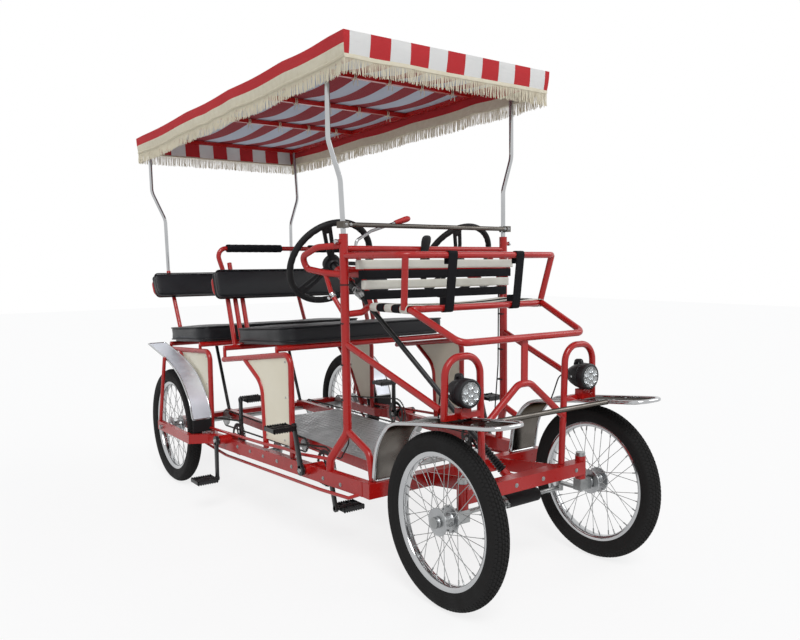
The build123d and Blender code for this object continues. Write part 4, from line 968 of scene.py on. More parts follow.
def mergedCopy(node):
    shape = bmesh.new()
    shape.from_mesh(frame["nodes"][node].data)
    bmesh.ops.remove_doubles(shape, verts=shape.verts, dist=1e-5)
    return shape


def spanOf(points):
    return tuple(Vector([pick(p[k] for p in points) for k in range(3)]) for pick in (min, max))


def looseGroups(node):
    # the corners of each loose solid in a CAD node
    shape = mergedCopy(node)
    seen, groups = set(), []
    for vert in shape.verts:
        if vert in seen:
            continue
        group, queue = [], [vert]
        seen.add(vert)
        while queue:
            here = queue.pop()
            group.append(here.co.copy())
            for edge in here.link_edges:
                other = edge.other_vert(here)
                if other not in seen:
                    seen.add(other)
                    queue.append(other)
        groups.append(group)
    shape.free()
    return groups


def islands(node):
    return [spanOf(group) for group in looseGroups(node)]


# ---- steering wheels, columns and shaft ----
# blocks join each pair of bars: how far out, how wide and what share of the dish
steering = {"rim": 0.160, "grip": 0.0118, "spokeAngles": (-22, 98, 218), "dish": 0.010, "hub": 0.034,
            "column": 0.013, "columnLength": 0.185, "joint": 0.204, "fork": 0.0125, "shaft": 0.0088,
            "bellows": 0.0168, "bellowsLength": 0.105, "bellowsRibs": 11, "tail": 0.028,
            "spokeOutline": ((-0.0062, -0.0048), (0.0062, -0.0048), (0.0068, 0), (0.0062, 0.0048), (-0.0062, 0.0048),
                             (-0.0068, 0)),
            "blocks": ((0.042, 0.024, 0.95), (0.139, 0.034, 0.15)), "blockHalf": (0.0045, 0.012)}


def wheelFrame(side):
    hinge = hinges[f"wheel_turn_{side}"]
    return lookAlong(Vector(hinge["pos_m"]), Vector(hinge["axis"]))


def steeringRim(s):
    shape = bmesh.new()
    count = 144
    route = [(0, s["rim"] * cos(2 * pi * k / count), s["rim"] * sin(2 * pi * k / count)) for k in range(count)]
    rings = sweep(shape, route, circle(s["grip"], 16), closed=True, up=Vector((1, 0, 0)))
    for k, ring in enumerate(rings):
        centre = Vector(route[k])
        swell = 1 + 0.045 * sin(2 * pi * k / count * 36)
        for vert in ring:
            inward = (vert.co - centre).dot(-centre.normalized()) > 0
            vert.co = centre + (vert.co - centre) * (swell if inward else 1)
    return finishMesh(shape, "steeringRim", "mouldedBlackRubber", 70)


def steeringSpokes(s):
    shape = bmesh.new()
    inner, outer, dish = s["hub"] * 0.55, s["rim"] - 0.004, s["dish"]
    thick, deep = s["blockHalf"]
    for angle in s["spokeAngles"]:
        turn = Matrix.Rotation(radians(angle), 4, "X")
        for lean in (-1, 1):
            route = [(-dish - 0.004, inner, lean * 0.004), (-dish, inner + 0.02, lean * 0.006),
                     (-dish * 0.7, (inner + outer) / 2, lean * 0.0105), (-dish * 0.2, outer - 0.02, lean * 0.0115),
                     (0, outer, lean * 0.0125)]
            sweep(shape, [turn @ Vector(p) for p in roundedRoute(route, 0.05)], s["spokeOutline"],
                  up=turn @ Vector((1, 0, 0)))
        for reach, wide, share in s["blocks"]:
            box(shape, (-thick, reach - deep, -wide / 2), (thick, reach + deep, wide / 2),
                turn @ Matrix.Translation((-dish * share, 0, 0)))
    bevelAll(shape, 0.0012)
    return finishMesh(shape, "steeringSpokes", "mouldedBlackAbs", 50)


def steeringHub(s):
    r = s["hub"]
    profile = [(-0.026, 0), (-0.026, r * 0.55), (-0.023, r * 0.62), (-0.016, r * 0.66), (-0.013, r * 0.92),
               (-0.006, r), (0.002, r * 0.97), (0.006, r * 0.84), (0.0062, r * 0.78), (0.0052, r * 0.76),
               (0.0075, r * 0.5), (0.009, r * 0.25), (0.0094, 0)]
    return turnedMesh(profile, 48, "mouldedBlackAbs")


def columnMesh(s):
    length, r = s["columnLength"], s["column"]
    profile = [(-length, 0), (-length, r * 0.8), (-length + 0.002, r), (-0.024, r), (-0.022, r * 0.9), (-0.022, 0)]
    return turnedMesh(profile, 32, "satinBlackEnamel")


def jointMesh(way, s):
    # a crossed pair of forks with their pins; way points out of the fork's root
    shape = bmesh.new()
    r = s["fork"]
    box(shape, (0.004, -r, -r * 0.55), (0.0165, r, r * 0.55))
    for side in (-1, 1):
        box(shape, (-0.0075, side * r * 0.98 - 0.0022, -r * 0.55), (0.006, side * r * 0.98 + 0.0022, r * 0.55))
    bevelAll(shape, 0.0014)
    sweep(shape, [(0, -r * 1.12, 0), (0, r * 1.12, 0)], circle(0.0042, 10))
    addSpin(shape, [(0.014, 0), (0.014, 0.0115), (0.026, 0.0115), (0.027, 0.0095), (0.027, 0)], 24)
    return moveMesh(finishMesh(shape, "joint", "zincPlatedSteel", 40), way)


def makeSteering(s):
    parts = {"steeringRim": steeringRim(s), "steeringSpokes": steeringSpokes(s), "steeringHub": steeringHub(s),
             "steeringColumn": columnMesh(s)}
    for side in sides:
        spot = wheelFrame(side)
        body = f"steering_wheel_{side}"
        for part, mesh in parts.items():
            slot = "painted_black" if part == "steeringColumn" else "black_plastic"
            place(moveMesh(mesh.copy(), spot), f"{part}_{side}", body, slot, [body] if part == "steeringRim" else [])
        place(jointMesh(spot @ Matrix.Translation((-s["joint"], 0, 0)), s), f"columnJoint_{side}", body,
              "plain_steel")
    hinge = hinges["shaft_turn"]
    foot, way = Vector(hinge["pos_m"]), Vector(hinge["axis"]).normalized()
    top = wheelFrame("right") @ Vector((-s["joint"], 0, 0))
    length, end, ribs = (top - foot).length, s["bellowsLength"], s["bellowsRibs"]
    shape = bmesh.new()
    r, big, tail = s["shaft"], s["bellows"], s["tail"]
    profile = [(-tail, 0), (-tail, r * 0.8), (-tail + 0.001, r), (0.0003, r), (0.0003, big * 0.72)]
    for n in range(ribs):
        base, slim = end * (n + 0.1) / ribs, 1 - 0.28 * n / ribs
        profile += [(base + end / ribs * step, big * wide * slim)
                    for step, wide in ((0, 0.68), (0.25, 0.9), (0.5, 1), (0.75, 0.9))]
    profile += [(end, big * 0.68), (end + 0.012, big * 0.66), (end + 0.0125, r), (length - 0.018, r),
                (length - 0.017, 0)]
    spin(shape, profile, 40, closed=False)
    addPiece(shape, "steeringShaft", "satinBlackEnamel", "painted_black", 40, lookAlong(foot, way), "steering_shaft",
             ["steering_shaft"])
    forkSpot = lookAlong(top, -way, Vector((1, 0, 0)))
    place(jointMesh(forkSpot, s), "shaftJoint", "steering_shaft", "plain_steel")


makeSteering(steering)
print("steering ready")

# ---- headlamps ----
lamp = {"radius": 0.044, "lens": 0.0355, "cells": 6, "cellRadius": 0.0112, "cellRing": 0.0232}


def lampCup(s, offset):
    shape = bmesh.new()
    c = s["cellRadius"]
    spin(shape, [(0.0052, 0.0022), (0.0045, c * 0.5), (0.0028, c * 0.8), (0.0004, c), (0.0008, c * 1.02),
                 (0.0056, c * 1.02)], 20)
    bmesh.ops.translate(shape, verts=shape.verts, vec=(0.0006, offset, 0))
    return shape


def makeLamps(s):
    r, lens = s["radius"], s["lens"] - 0.0004
    for low, high in islands("headlamps"):
        side = "right" if low.x < 0 else "left"
        face = Vector(((low.x + high.x) / 2, low.y, (low.z + high.z) / 2))
        spot = lookAlong(face, Vector((0, 1, 0)))
        shell = bmesh.new()
        spin(shell, [(0.006, 0), (0.006, s["lens"] - 0.0005), (0.001, s["lens"]), (0.0004, r - 0.005),
                     (0.0028, r - 0.0008), (0.005, r), (0.026, r), (0.027, r - 0.0012), (0.0285, r - 0.0012),
                     (0.0295, r), (0.034, r), (0.050, r * 0.93), (0.070, r * 0.76), (0.086, r * 0.55),
                     (0.098, r * 0.33), (0.1035, r * 0.14), (0.104, 0)], 64, closed=False)
        addPiece(shell, f"lampShell_{side}", "mouldedBlackAbs", "black_plastic", 28, spot, replaced=["headlamps"])
        ring = growRound(lampCup(s, s["cellRing"]), s["cells"], "chromePlate")
        reflectors = joinMeshes("reflectors", [ring, finishMesh(lampCup(s, 0), "middle", "chromePlate", 30)])
        place(moveMesh(reflectors, spot), f"lampReflectors_{side}", "frame", "bright_steel")
        glass = bmesh.new()
        spin(glass, [(-0.0018, 0), (-0.0014, lens * 0.5), (0.0, lens * 0.94), (0.0003, lens), (0.001, lens),
                     (0.0002, lens * 0.5), (-0.0002, 0)], 48, closed=False)
        addPiece(glass, f"lampLens_{side}", "clearPolycarbonate", "bright_steel", 60, spot)
        bolt = bmesh.new()
        sweep(bolt, [(0.046, -0.0445, 0), (0.046, 0.0445, 0)], circle(0.0038, 6), up=Vector((1, 0, 0)))
        addPiece(bolt, f"lampBolts_{side}", "chromePlate", "plain_steel", 30,
                 spot @ Matrix.Rotation(radians(90), 4, "X"))
        knob = bmesh.new()
        sweep(knob, roundedRoute([(0.040, 0, 0.040), (0.043, 0, 0.0495), (0.062, 0, 0.0475), (0.066, 0, 0.033)],
                                 0.004), circle(0.0075, 12), up=Vector((0, 1, 0)))
        addPiece(knob, f"lampSwitch_{side}", "mouldedBlackAbs", "black_plastic", 50,
                 spot @ Matrix.Rotation(radians(-90), 4, "X"))


makeLamps(lamp)
print("headlamps ready")

# ---- cranksets ----
crank = {"length": 0.158, "lean": {"front": 17.0, "rear": 180.0}, "pedalReach": 0.0995, "arm": 0.006,
         "ringRadius": 0.062, "teeth": 44, "spiderArms": 5, "pedal": (0.088, 0.076, 0.020), "gap": 0.0055,
         "plate": 0.003, "cageTeeth": 9, "boss": 0.019, "pedalBoss": 0.012,
         "blade": ((-0.006, 0.0125), (0.012, 0.0135), (0.05, 0.0118), (0.12, 0.0100), (0.162, 0.0104)),
         "bladeCorners": ((-0.75, -1), (0.75, -1), (1, -0.7), (1, 0.7), (0.75, 1), (-0.75, 1), (-1, 0.7), (-1, -0.7))}


def armBlade(shape, x, base, tip, facts):
    # a forged blade, wide at the spindle and slimmer at the pedal
    way = (tip - base).normalized()
    side = Vector((1, 0, 0)).cross(way)
    half = facts["arm"]
    rings = []
    for reach, wide in facts["blade"]:
        spot = base + way * reach
        rings.append([shape.verts.new(Vector((x + a * half, spot.y, spot.z)) + side * b * wide)
                      for a, b in facts["bladeCorners"]])
    bridge(shape, rings)


def pedalCage(shape, centre, facts):
    wide, deep, tall = facts["pedal"]
    t, teeth = facts["plate"], facts["cageTeeth"]

    def slab(x, y, z, halfX, halfY, halfZ):
        box(shape, centre + Vector((x - halfX, y - halfY, z - halfZ)),
            centre + Vector((x + halfX, y + halfY, z + halfZ)))

    for side in (-1, 1):
        y = side * (deep / 2 - t / 2)
        slab(0, y, 0, wide / 2, t / 2, tall / 2 - 0.003)
        for n in range(teeth):
            for up in (-1, 1):
                slab(-wide / 2 + wide * (n + 0.5) / teeth, y, up * (tall / 2 - 0.0025), 0.0025, t / 2, 0.0025)
        slab(side * (wide / 2 - t / 2), 0, 0, t / 2, deep / 2, tall / 2 - 0.003)
        slab(side * wide * 0.17, 0, 0, t / 2, deep / 2 - t, tall / 2 - 0.005)
    end = wide / 2 - 0.004
    addSpin(shape, [(-end, 0), (-end, 0.009), (-wide * 0.2, 0.0085), (0, 0.0105), (wide * 0.2, 0.0085), (end, 0.009),
                    (end, 0)], 16, Matrix.Translation(centre))


def makeCrankset(end, facts):
    low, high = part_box(f"crankset_{end}_right")
    hinge = Vector(hinges[f"crank_{end}_right"]["pos_m"])
    outer, inner = low.x + facts["pedalReach"], high.x - facts["pedalReach"]
    lean = radians(facts["lean"][end])
    black, bright = bmesh.new(), bmesh.new()
    half, finishName = facts["arm"], "satinBlackEnamel"
    reach, wide = half + facts["gap"], facts["pedal"][0]
    for x, out, turn in ((outer, -1, lean), (inner, 1, lean + pi)):
        base = Vector((x, hinge.y, hinge.z))
        tip = base + Vector((0, sin(turn), cos(turn))) * facts["length"]
        armBlade(black, x, base, tip, facts)
        pedalCage(black, tip + Vector((out * (reach + wide / 2), 0, 0)), facts)
        for spot, radius in ((base, facts["boss"]), (tip, facts["pedalBoss"])):
            addSpin(black, [(-half, 0), (-half, radius - 0.001), (-half + 0.001, radius), (half - 0.001, radius),
                            (half, radius - 0.001), (half, 0)], 32, Matrix.Translation(spot))
        addSpin(bright, [(0, 0), (0, 0.0095), (0.0035, 0.009), (0.0038, 0.006), (0.0018, 0.0055), (0.0018, 0)], 6,
                Matrix.Translation(base + Vector((out * half, 0, 0))) @ Matrix.Scale(out, 4, (1, 0, 0)))
        sweep(bright, [tip, tip + Vector((out * (reach + 0.002), 0, 0))], circle(0.0062, 12))
    sweep(bright, [(outer, hinge.y, hinge.z), (inner, hinge.y, hinge.z)], circle(0.008, 20))
    r = facts["ringRadius"]
    tooth, arm, plate, collar = (bmesh.new() for _ in range(4))
    box(tooth, (0.0006, r - 0.0062, -0.0024), (0.0024, r - 0.0032, 0.0024))
    box(tooth, (0.0009, r - 0.0034, -0.0012), (0.0021, r - 0.0004, 0.0012))
    box(arm, (0.0004, 0.012, -0.006), (0.0026, r - 0.014, 0.006))
    bevelAll(arm, 0.0005)
    spin(plate, [(0.0003, r - 0.017), (0.0003, r - 0.005), (0.0027, r - 0.005), (0.0027, r - 0.017)], 88)
    spin(collar, [(-0.001, 0.0082), (-0.001, 0.0155), (0.004, 0.0155), (0.004, 0.0082)], 32)
    ring = joinMeshes("ring", [growRound(tooth, facts["teeth"], finishName),
                               growRound(arm, facts["spiderArms"], finishName),
                               finishMesh(plate, "plate", finishName, 30),
                               finishMesh(collar, "collar", finishName, 30)])
    moveMesh(ring, Matrix.Translation((inner - reach - 0.003, hinge.y, hinge.z)))
    meshes = {"crankArms": finishMesh(black, "arms", finishName, 35),
              "crankPins": finishMesh(bright, "pins", "zincPlatedSteel", 35), "chainring": ring}
    for side, sign in sides.items():
        mirror = Matrix.Scale(-sign, 4, (1, 0, 0))
        body = f"crankset_{end}_{side}"
        for label, mesh in meshes.items():
            slot = "plain_steel" if label == "crankPins" else "painted_black"
            place(moveMesh(mesh.copy(), mirror), f"{label}_{end}_{side}", body, slot,
                  [body] if label == "crankArms" else [])


for wheelEnd in ("front", "rear"):
    makeCrankset(wheelEnd, crank)
print("cranksets ready")

# ---- chains and sprockets ----
chain = {"pitch": 0.0127, "plate": 0.0011, "roller": 0.0036, "width": 0.0062, "round": 0.0038, "band": 0.004,
         "sprocket": 0.028, "axleSprocket": 0.034}


def chainRoutes(s):
    # the middle line of each chain on the right, read from its CAD band: two circles and their outer tangents
    beamLow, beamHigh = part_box("centre_beams")
    beamHeight = (beamLow.z + beamHigh.z) / 2
    routes = []
    for low, high in islands("drive_chains"):
        if high.x > 0:
            continue
        front = (low.y + s["sprocket"] + s["band"], beamHeight, s["sprocket"])
        for end in ("front", "rear"):
            _, y, z = hinges[f"crank_{end}_right"]["pos_m"]
            if low.y < y - 0.05 < high.y and abs((high.z + low.z) / 2 - z) < 0.02 and y - low.y < 0.09:
                front = (y, z, y - low.y - s["band"])
        _, y, z = hinges["spin_rear_right"]["pos_m"]
        if abs(high.y - y) < 0.06:
            back = (y, z, high.y - y - s["band"])
        else:
            back = (high.y - s["axleSprocket"], beamHeight, s["axleSprocket"] - s["band"])
        routes.append(((low.x + high.x) / 2, front, back))
    return routes


def beltLine(first, second, step):
    # even points round two circles
    (ya, za, ra), (yb, zb, rb) = first, second
    gap = sqrt((yb - ya) ** 2 + (zb - za) ** 2)
    base, lean = atan2(zb - za, yb - ya), pi / 2 - (rb - ra) / gap
    points = []
    for y, z, r, start, arc in ((ya, za, ra, base + lean, 2 * pi - 2 * lean), (yb, zb, rb, base - lean, 2 * lean)):
        for n in range(25):
            angle = start + arc * n / 24
            points.append(Vector((0, y + r * cos(angle), z + r * sin(angle))))
    total = [0.0]
    for n in range(len(points)):
        total.append(total[-1] + (points[(n + 1) % len(points)] - points[n]).length)
    count = 2 * round(total[-1] / step / 2)
    spots, n = [], 0
    for k in range(count):
        want = total[-1] * k / count
        while total[n + 1] < want:
            n += 1
        a, b = points[n], points[(n + 1) % len(points)]
        share = (want - total[n]) / max(1e-9, total[n + 1] - total[n])
        spots.append((a + (b - a) * share, atan2(b.z - a.z, b.y - a.y)))
    return spots


def linkShape(s, inner):
    shape = bmesh.new()
    half, reach = s["width"] / 2 * (0.62 if inner else 0.92), s["pitch"] / 2
    outline = []
    for a in (-1, 1):
        for k in range(6):
            angle = pi / 2 + a * pi * (k + 0.5) / 6
            outline.append((a * reach + s["round"] * cos(angle), s["round"] * sin(angle)))
    for x in (-half, half):
        bridge(shape, [[shape.verts.new((x + out * s["plate"] / 2, p, q)) for p, q in outline] for out in (-1, 1)])
    if inner:
        for y in (-reach, reach):
            sweep(shape, [(-half, y, 0), (half, y, 0)], circle(s["roller"], 8))
    return shape


def makeChains(s):
    made = []
    for x, first, second in chainRoutes(s):
        spots = beltLine(first, second, s["pitch"])
        for inner in (True, False):
            chosen = spots[int(inner)::2]
            line = spotMesh([Vector((x, p.y, p.z)) for p, _ in chosen], [(turn, 0, 0) for _, turn in chosen])
            made.append(grow(spotTree, line, {"Item": itemFrom(linkShape(s, inner))}, "oiledChainSteel", 30))
    right = joinMeshes("chains", made)
    for side, sign in sides.items():
        place(moveMesh(right.copy(), Matrix.Scale(-sign, 4, (1, 0, 0))), f"driveChains_{side}", "frame",
              "plain_steel", ["drive_chains"] if side == "right" else [])


makeChains(chain)
print("chains ready")

# ---- child bench webbing ----
webbing = {"thickness": 0.0024, "tube": 0.0125, "post": 0.0105, "tail": 0.034, "sag": 0.007, "stitchPitch": 0.0068,
           "stitchInset": 0.0034, "strap": 0.002}


def ribbon(shape, route, width, thickness, across):
    # a flat band along a route, its width kept along one direction
    across = Vector(across).normalized()
    inset = thickness * 0.4
    outline = [(-0.5, -1 + inset / width * 2), (0, -1), (0.5, -1 + inset / width * 2), (0.62, -0.5), (0.5, 0),
               (0.62, 0.5), (0.5, 1 - inset / width * 2), (0, 1), (-0.5, 1 - inset / width * 2), (-0.62, 0.5),
               (-0.5, 0), (-0.62, -0.5)]
    rings = []
    for n, spot in enumerate(route):
        before, after = route[max(n - 1, 0)], route[min(n + 1, len(route) - 1)]
        way = (Vector(after) - Vector(before)).normalized()
        face = way.cross(across).normalized()
        rings.append([shape.verts.new(Vector(spot) + face * thickness * a + across * width / 2 * b)
                      for a, b in outline])
    bridge(shape, rings)


def stitchItem():
    shape = bmesh.new()
    box(shape, (-0.0003, -0.0003, -0.0021), (0.0003, 0.0003, 0.0021))
    return itemFrom(shape)


def stitchLines(lines, materialName):
    spacing = webbing["stitchPitch"]
    return joinMeshes("stitches", [grow(lineTree, lineMesh(line),
                                        {"Item": stitchItem(), "Spacing": spacing, "Seed": 3, "Follow": True},
                                        materialName) for line in lines])


def wrapRoute(halfSpan, radius, tail, rise, sag):
    # half of a band: under the tube, round its outside, then over the span to the middle
    bend = roundedRoute([(-halfSpan + tail, 0, -rise), (-halfSpan - radius, 0, -rise), (-halfSpan - radius, 0, rise),
                         (-halfSpan + 0.02, 0, rise)], radius)
    span = []
    for n in range(1, 13):
        x = (-halfSpan + 0.02) * (1 - n / 12)
        share = 1 - (x / (halfSpan - 0.02)) ** 2
        span.append(Vector((x, 0, rise - sag * share)))
    return bend + span


def fullRoute(half):
    return half + [Vector((-p.x, p.y, p.z)) for p in reversed(half[:-1])]


def makeWebbing(w):
    bands = islands("child_bench_webbing")
    straps = [b for b in bands if b[1].x - b[0].x < 0.06]
    backs = sorted([b for b in bands if b not in straps and b[1].z - b[0].z > 0.02], key=lambda b: -b[1].z)
    seats = sorted([b for b in bands if b not in straps and b[1].z - b[0].z < 0.02], key=lambda b: b[0].y)
    shapes = {"white": bmesh.new(), "black": bmesh.new()}
    lines = {"white": [], "black": []}
    t = w["thickness"]

    def addBand(colour, route, width, across, lift, trim):
        # a band and its two rows of stitches
        ribbon(shapes[colour], route, width, t, across)
        for side in (-1, 1):
            offset = Vector(lift) * t * 0.62 + Vector(across) * side * (width / 2 - w["stitchInset"])
            lines[colour].append([p + offset for p in route[trim:-trim]])

    for n, (low, high) in enumerate(backs):
        r = w["post"]
        half = wrapRoute(high.x - r, r, w["tail"], r, -w["sag"] * 0.8)
        centre = Vector((0, high.y + r - t / 2, (low.z + high.z) / 2))
        route = [centre + Vector((p.x, -p.z, 0)) for p in fullRoute(half)]
        addBand("black" if n % 2 else "white", route, high.z - low.z, (0, 0, 1), (0, -1, 0), 22)
    for n, (low, high) in enumerate(seats):
        r = w["tube"]
        half = wrapRoute(high.x, r, w["tail"], r, w["sag"] * 1.6)
        centre = Vector((0, (low.y + high.y) / 2, low.z - r + t / 2))
        route = [centre + p for p in fullRoute(half)]
        addBand("black" if n % 2 else "white", route, high.y - low.y, (0, 1, 0), (0, 0, 1), 22)
    for low, high in straps:
        r, thick = w["tube"], w["strap"]
        top = Vector(((low.x + high.x) / 2, low.y + thick + r, high.z))
        foot = Vector((top.x, high.y - thick + r, low.z))
        route = [top + Vector((0, r, -0.03)), top + Vector((0, r, r)), top + Vector((0, -r, r)),
                 foot + Vector((0, -r, -r)), foot + Vector((0, r, -r)), foot + Vector((0, r, 0.034))]
        addBand("black", roundedRoute(route, r, 8), high.x - low.x, (1, 0, 0), (0, -1, 0), 18)
    addPiece(shapes["white"], "webbingWhite", "whitePolyesterWebbing", "webbing_cloth", 50,
             replaced=["child_bench_webbing"])
    addPiece(shapes["black"], "webbingBlack", "blackPolyesterWebbing", "webbing_cloth", 50)
    for colour, thread in (("white", "creamCotton"), ("black", "mouldedBlackRubber")):
        place(stitchLines(lines[colour], thread), f"stitches{colour.title()}", "frame", "webbing_cloth")


makeWebbing(webbing)
print("webbing ready")

# ---- fender edges ----
fender = {"bead": {"front_fenders": 0.0066, "rear_fenders": 0.0040}, "skin": 0.003, "step": 0.012}


def edgeLoops(node, skin):
    # the closed outlines of a bent sheet, read from its CAD mesh
    shape = mergedCopy(node)
    near = {}
    for edge in shape.edges:
        isFold = len(edge.link_faces) == 2 and edge.calc_face_angle(0) > radians(50)
        if isFold and abs(edge.calc_length() - skin) > skin * 0.04:
            for vert in edge.verts:
                near.setdefault(vert, []).append(edge.other_vert(vert))
    loops, seen = [], set()
    for start in near:
        if start in seen or len(near[start]) != 2:
            continue
        loop, here, last = [], start, None
        while here not in seen:
            seen.add(here)
            loop.append(here.co.copy())
            step = [v for v in near[here] if v is not last and len(near.get(v, [])) == 2]
            if not step:
                break
            last, here = here, step[0] if step[0] not in seen or len(step) == 1 else step[-1]
        if len(loop) > 12:
            loops.append(loop)
    shape.free()
    return loops


def upperLoops(loops):
    # the higher of the two outlines on each side
    best = {}
    for loop in sorted(loops, key=lambda loop: sum(p.z for p in loop) / len(loop)):
        best["right" if sum(p.x for p in loop) < 0 else "left"] = loop
    return best


def evenLoop(loop, step):
    # the same closed line in even steps
    lengths = [(loop[(n + 1) % len(loop)] - loop[n]).length for n in range(len(loop))]
    total, points = sum(lengths), []
    count = max(12, round(total / step))
    walked, n = 0.0, 0
    for k in range(count):
        want = total * k / count
        while n < len(lengths) - 1 and walked + lengths[n] < want:
            walked += lengths[n]
            n += 1
        points.append(loop[n].lerp(loop[(n + 1) % len(loop)], (want - walked) / max(1e-9, lengths[n])))
    return points


def makeFenderEdges(f):
    for node, bead in f["bead"].items():
        for side, loop in upperLoops(edgeLoops(node, f["skin"])).items():
            shape = bmesh.new()
            points = evenLoop([p - Vector((0, 0, f["skin"] / 2)) for p in loop], f["step"])
            sweep(shape, points, circle(bead, 10), closed=True)
            addPiece(shape, f"{node}Edge_{side}", "chromePlate", "bright_steel", 60)


makeFenderEdges(fender)


def addBolt(shape, spot, way, radius):
    # a washer and a six-sided head, out along a direction
    look = lookAlong(Vector(spot), Vector(way))
    addSpin(shape, [(-0.001, 0), (-0.001, radius * 1.5), (0.0012, radius * 1.5), (0.0014, radius * 1.4), (0.0014, 0)],
            20, look)
    addSpin(shape, [(0.0012, 0), (0.0012, radius), (radius * 0.7, radius), (radius * 0.85, radius * 0.82),
                    (radius * 0.85, 0)], 6, look)


# ---- checker plate ----
checker = {"pitch": 0.026, "inset": 0.012, "long": 0.0095, "wide": 0.0028, "tall": 0.0012}


def makeChecker(c):
    low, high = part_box("floor_plate")
    shape = bmesh.new()
    corners = ((-c["long"], 0), (0, -c["wide"]), (c["long"], 0), (0, c["wide"]))
    base = [shape.verts.new((x, y, 0)) for x, y in corners]
    top = [shape.verts.new((x * 0.7, y * 0.5, c["tall"])) for x, y in corners]
    bridge(shape, [base, top], capped=False)
    shape.faces.new(top)
    spots, turns = [], []
    step = c["pitch"] / 2
    across = int((high.x - low.x - 2 * c["inset"]) / step)
    along = int((high.y - low.y - 2 * c["inset"]) / step)
    for i in range(across + 1):
        for j in range(along + 1):
            if (i + j) % 2 == 0:
                spots.append(Vector(((low.x + high.x) / 2 + (i - across / 2) * step,
                                     (low.y + high.y) / 2 + (j - along / 2) * step, high.z - 0.0001)))
                turns.append((0, 0, radians(45 if i % 2 else -45)))
    mesh = grow(spotTree, spotMesh(spots, turns), {"Item": itemFrom(shape)}, "brushedAluminium", 30)
    place(mesh, "checkerPattern", "frame", "checker_plate")


makeChecker(checker)
print("sheet metal ready")

# ---- grips, levers and damper ----
grip = {"foam": 0.017, "neck": 0.052, "clamps": (-0.042, -0.012), "lever": 0.0065, "knobLength": 0.048}
# the gear lever's rings: share of its height, share of its width and of its depth
gear = {"halfDepth": 0.007, "rings": ((0, 0.62, 0.8), (0.3, 0.68, 0.85), (0.62, 0.9, 1), (0.8, 1, 1.05),
                                      (0.92, 0.92, 0.95), (0.98, 0.66, 0.7), (1.0, 0.3, 0.35))}


def longEnds(node):
    # the two end centres and the half width of every long solid in a node
    found = []
    for group in looseGroups(node):
        low, high = spanOf(group)
        spans = [b - a for a, b in zip(low, high)]
        k = spans.index(max(spans))
        middle = (high[k] + low[k]) / 2
        ends = []
        for side in (-1, 1):
            half = [p for p in group if (p[k] - middle) * side > 0]
            edge = max((p[k] - middle) * side for p in half)
            tip = [p for p in half if (p[k] - middle) * side > edge - 0.004]
            ends.append(sum(tip, Vector()) / len(tip))
        found.append((ends[0], ends[1], min(spans) / 2))
    return found


def makeFoam(g):
    for n, (start, end, _) in enumerate(longEnds("grab_foam")):
        length, r, steps = (end - start).length, g["foam"], 24
        shape = bmesh.new()
        profile = [(0, 0.0125), (0, r - 0.004), (0.0012, r - 0.0015), (0.004, r)]
        for k in range(1, steps):
            profile.append((0.004 + (length - 0.008) * k / steps, r + 0.0004 * sin(k * 2.1)))
        profile += [(length - 0.004, r), (length - 0.0012, r - 0.0015), (length, r - 0.004), (length, 0.0125)]
        spin(shape, profile, 32)
        addPiece(shape, f"grabFoam_{n + 1}", "closedCellFoam", "black_rubber", 50, lookAlong(start, end - start),
                 replaced=["grab_foam"] if n == 0 else [])


def makeDamper(g):
    start, end, r = longEnds("damper")[0]
    length = (end - start).length
    look = lookAlong(start, end - start)
    sleeve, bright = bmesh.new(), bmesh.new()
    spin(sleeve, [(0.0004, 0), (0.0004, r - 0.003), (0.0016, r - 0.0008), (0.004, r), (length - 0.004, r),
                  (length - 0.0016, r - 0.0008), (length - 0.0004, r - 0.003), (length - 0.0004, 0)], 48,
         closed=False)
    addPiece(sleeve, "damperSleeve", "mouldedBlackRubber", "black_rubber", 30, look, "tie_rod", ["damper"])
    neck, reach = r * 0.80, g["neck"]
    spin(bright, [(-reach, 0), (-reach, neck * 0.8), (-reach + 0.003, neck * 0.9), (-0.036, neck * 0.9),
                  (-0.034, neck), (0.0, neck), (0.0, 0)], 32, closed=False)
    for x in g["clamps"]:
        addSpin(bright, [(x - 0.0045, neck * 0.8), (x - 0.0045, r * 0.94), (x - 0.0035, r * 0.98),
                         (x + 0.0035, r * 0.98), (x + 0.0045, r * 0.94), (x + 0.0045, neck * 0.8)], 32)
        for y in (-0.005, 0.002):
            box(bright, (x - 0.0045, y, r * 0.9), (x + 0.0045, y + 0.003, r + 0.010))
        sweep(bright, [(x, -0.008, r + 0.006), (x, 0.009, r + 0.006)], circle(0.0022, 8), up=Vector((1, 0, 0)))
    addPiece(bright, "damperClamps", "zincPlatedSteel", "plain_steel", 30, look, "tie_rod")


